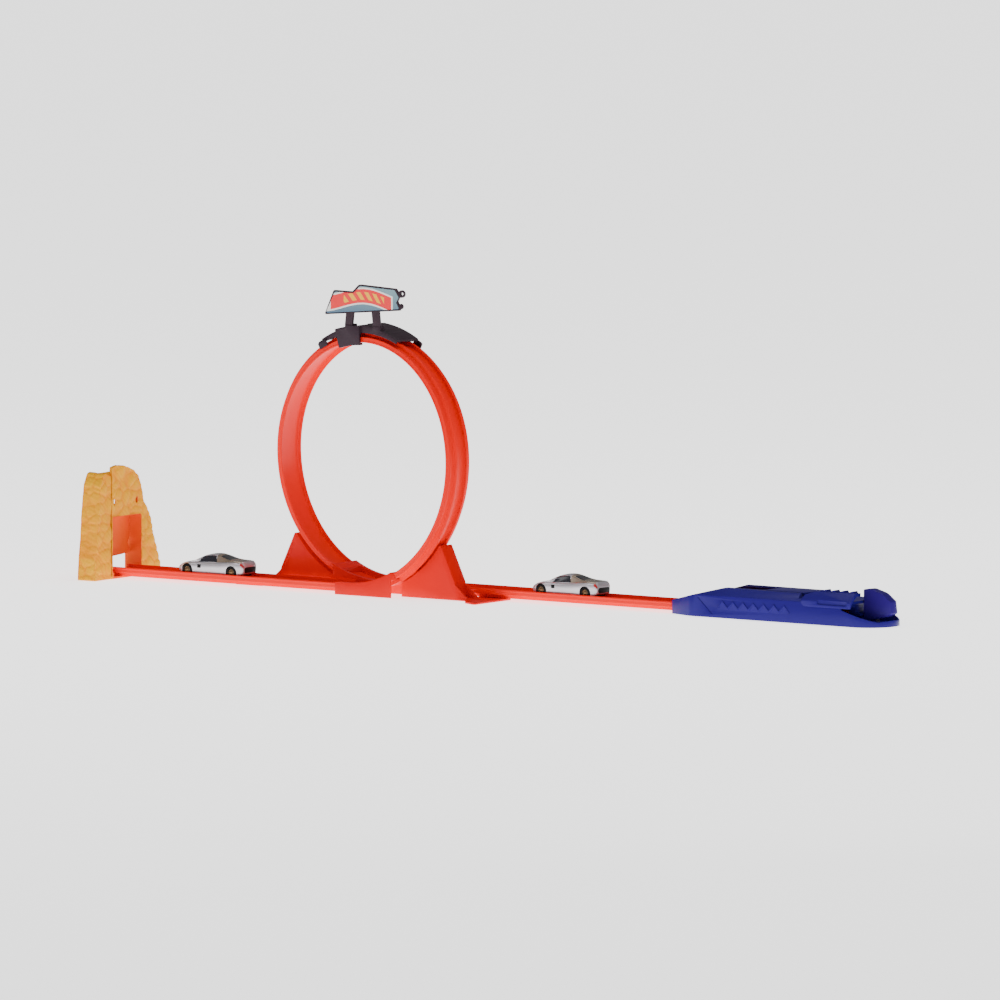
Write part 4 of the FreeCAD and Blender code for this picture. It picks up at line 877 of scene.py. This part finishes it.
def cut_wheel_arch(body, x, y, z):
    """Cut a pair of round arches, leaving the middle of the body whole."""
    for side in (-1, 1):
        turn = np.linspace(0, 2 * np.pi, ARCH_POINTS, endpoint=False)
        ring = np.stack([x + ARCH_RADIUS * np.cos(turn), np.zeros(ARCH_POINTS),
                         z + ARCH_RADIUS * np.sin(turn)], 1)
        inner = ring + [0, y + side * ARCH_INNER, 0]
        outer = ring + [0, y + side * ARCH_OUTER, 0]
        faces = grid_faces(2, ARCH_POINTS, wrap_columns=True).tolist()
        faces.append(list(range(ARCH_POINTS)))
        faces.append(list(range(ARCH_POINTS, 2 * ARCH_POINTS)))
        cutter = make_piece("arch_cutter", np.stack([inner, outer]) * MM, faces, BLACKOUT)
        cut = body.modifiers.new("arch", "BOOLEAN")
        cut.operation = "DIFFERENCE"
        cut.solver = "EXACT"
        cut.object = cutter
        cut.material_mode = "TRANSFER"
        apply_modifiers(body)
        bpy.data.objects.remove(cutter)


# %% [markdown]
# ### Wheels
# A wheel is a surface of revolution, so its profile is radius against depth. The rim's
# spokes are not: there the depth also depends on the angle, as a wave with ten crests.

# %% Wheels with dished, spoked rims
RIM = Finish("rim_bronze", Metallic=1.0)
cast = RIM.noise(0.0008, 2.0)
RIM.feed(Base_Color=RIM.mix(cast, srgb(128, 100, 72), srgb(176, 146, 110)),
         Roughness=0.26 + cast * 0.1)
TYRE = moulded("tyre_black_plastic", srgb(24, 23, 24), 0.42, grain=0.0005)
WHEEL_POINTS = 60


def revolved(name, profile, centre, side, material, wobble=None):
    """Point = centre + radius round Y, with depth along Y; wobble adds depth by angle."""
    turn = np.linspace(0, 2 * np.pi, WHEEL_POINTS, endpoint=False)
    radius = profile[:, 0][:, None]
    depth = profile[:, 1][:, None] + (0 if wobble is None else wobble(radius, turn[None]))
    points = np.stack([centre[0] + radius * np.cos(turn), centre[1] + side * depth + 0 * turn,
                       centre[2] + radius * np.sin(turn)], -1)
    faces = grid_faces(len(profile), WHEEL_POINTS, wrap_columns=True).tolist()
    faces.append(list(range(WHEEL_POINTS)))
    faces.append(list(range((len(profile) - 1) * WHEEL_POINTS, len(profile) * WHEEL_POINTS)))
    return make_piece(name, points * MM, faces, material, 35.0)


def spokes(radius, turn):
    """Sunk windows between ten spokes, fading out at the hub and at the rim's edge."""
    window = np.clip((radius - 1.2) / 0.5, 0, 1) * np.clip((3.6 - radius) / 0.5, 0, 1)
    return -0.9 * window * np.clip(0.35 - np.cos(10 * turn), 0, 1)


def wheel(node, side):
    """Tyre and rim for one CAD wheel, both on the axle's body."""
    low, high = box_mm(node)
    centre = (low + high) / 2
    radius = (high - low)[2] / 2
    half = (high - low)[1] / 2
    tyre_profile = np.array([(1.0, -half), (radius - 0.7, -half), (radius - 0.15, -half + 0.35),
                             (radius, -half + 0.9), (radius, half - 0.9),
                             (radius - 0.15, half - 0.3), (radius - 0.6, half),
                             (4.0, half), (3.8, half - 0.5),
                             (3.75, half - 1.5), (1.0, half - 1.5)])
    rim_profile = np.array([(3.73, half - 1.9), (3.73, half - 0.25), (3.6, half - 0.12),
                            (3.45, half - 0.3), (3.3, half - 0.9), (2.8, half - 1.0),
                            (2.3, half - 0.95), (1.7, half - 0.85), (1.3, half - 0.7),
                            (1.1, half - 0.35),
                            (0.8, half - 0.25), (0.3, half - 0.22)])
    body = node.replace("_near", "").replace("_far", "").replace("_wheel", "_wheels")
    tyre = revolved(node + "_tyre", tyre_profile, centre, side, TYRE)
    settle(tyre, body, "black_wheel", node)
    rim = revolved(node + "_rim", rim_profile, centre, side, RIM.material, spokes)
    settle(rim, body, "black_wheel")


for car in ("car_gate", "car_launch"):
    car_body(car, car + "_body")
    for end in ("front", "rear"):
        for hand, side in (("near", -1), ("far", 1)):
            wheel(f"{car}_{end}_wheel_{hand}", side)

# %% [markdown]
# ## The stage
# The floor is plain pale paper, wide enough to fill the view. It also gives off light of
# its own, which keeps it pale and lights the undersides softly.

# %% Floor
FLOOR_HALF = 40.0
floor_points = [(-FLOOR_HALF, -FLOOR_HALF, 0), (FLOOR_HALF, -FLOOR_HALF, 0),
                (FLOOR_HALF, FLOOR_HALF, 0), (-FLOOR_HALF, FLOOR_HALF, 0)]
PAPER = Finish("studio_paper", Roughness=0.9, Emission_Strength=1.95)
fibre = PAPER.noise(0.3, 2.0)
PAPER.feed(Base_Color=PAPER.mix(fibre, (0.84, 0.84, 0.84), (0.86, 0.86, 0.86)),
           Emission_Color=PAPER.mix(fibre, (0.99, 0.99, 0.99), (1.0, 1.0, 1.0)))
floor = make_piece("studio_floor", floor_points, [(0, 1, 2, 3)], PAPER.material, outward=False)
floor.location.z = -0.0006

# %% [markdown]
# ## Light
# A pale world and three broad lamps: a key over the camera's left shoulder, a fill from
# the right and a soft top light, so that the rails keep a thin highlight.

# %% World and lamps
world = bpy.data.worlds.new("studio")
bpy.context.scene.world = world
world.use_nodes = True
world.node_tree.nodes["Background"].inputs[0].default_value = (1.0, 1.0, 1.0, 1.0)
world.node_tree.nodes["Background"].inputs[1].default_value = 0.18


def lamp(name, place, aim_at, size, power):
    """Square area light at a place, turned to face a point."""
    data = bpy.data.lights.new(name, "AREA")
    data.size = size
    data.energy = power
    light = bpy.data.objects.new(name, data)
    bpy.context.scene.collection.objects.link(light)
    light.location = place
    light.rotation_mode = "QUATERNION"
    direction = Vector(aim_at) - Vector(place)
    light.rotation_quaternion = direction.to_track_quat("-Z", "Y")


middle_point = tuple(float(v) for v in centre)
lamp("key", (-0.9, -2.2, 1.8), middle_point, 1.4, 12.0)
lamp("fill", (2.4, -1.2, 1.0), middle_point, 1.6, 4.0)
lamp("top", (0.2, 0.3, 2.6), middle_point, 2.0, 36.0)
print("lamps:", len(bpy.data.lights))
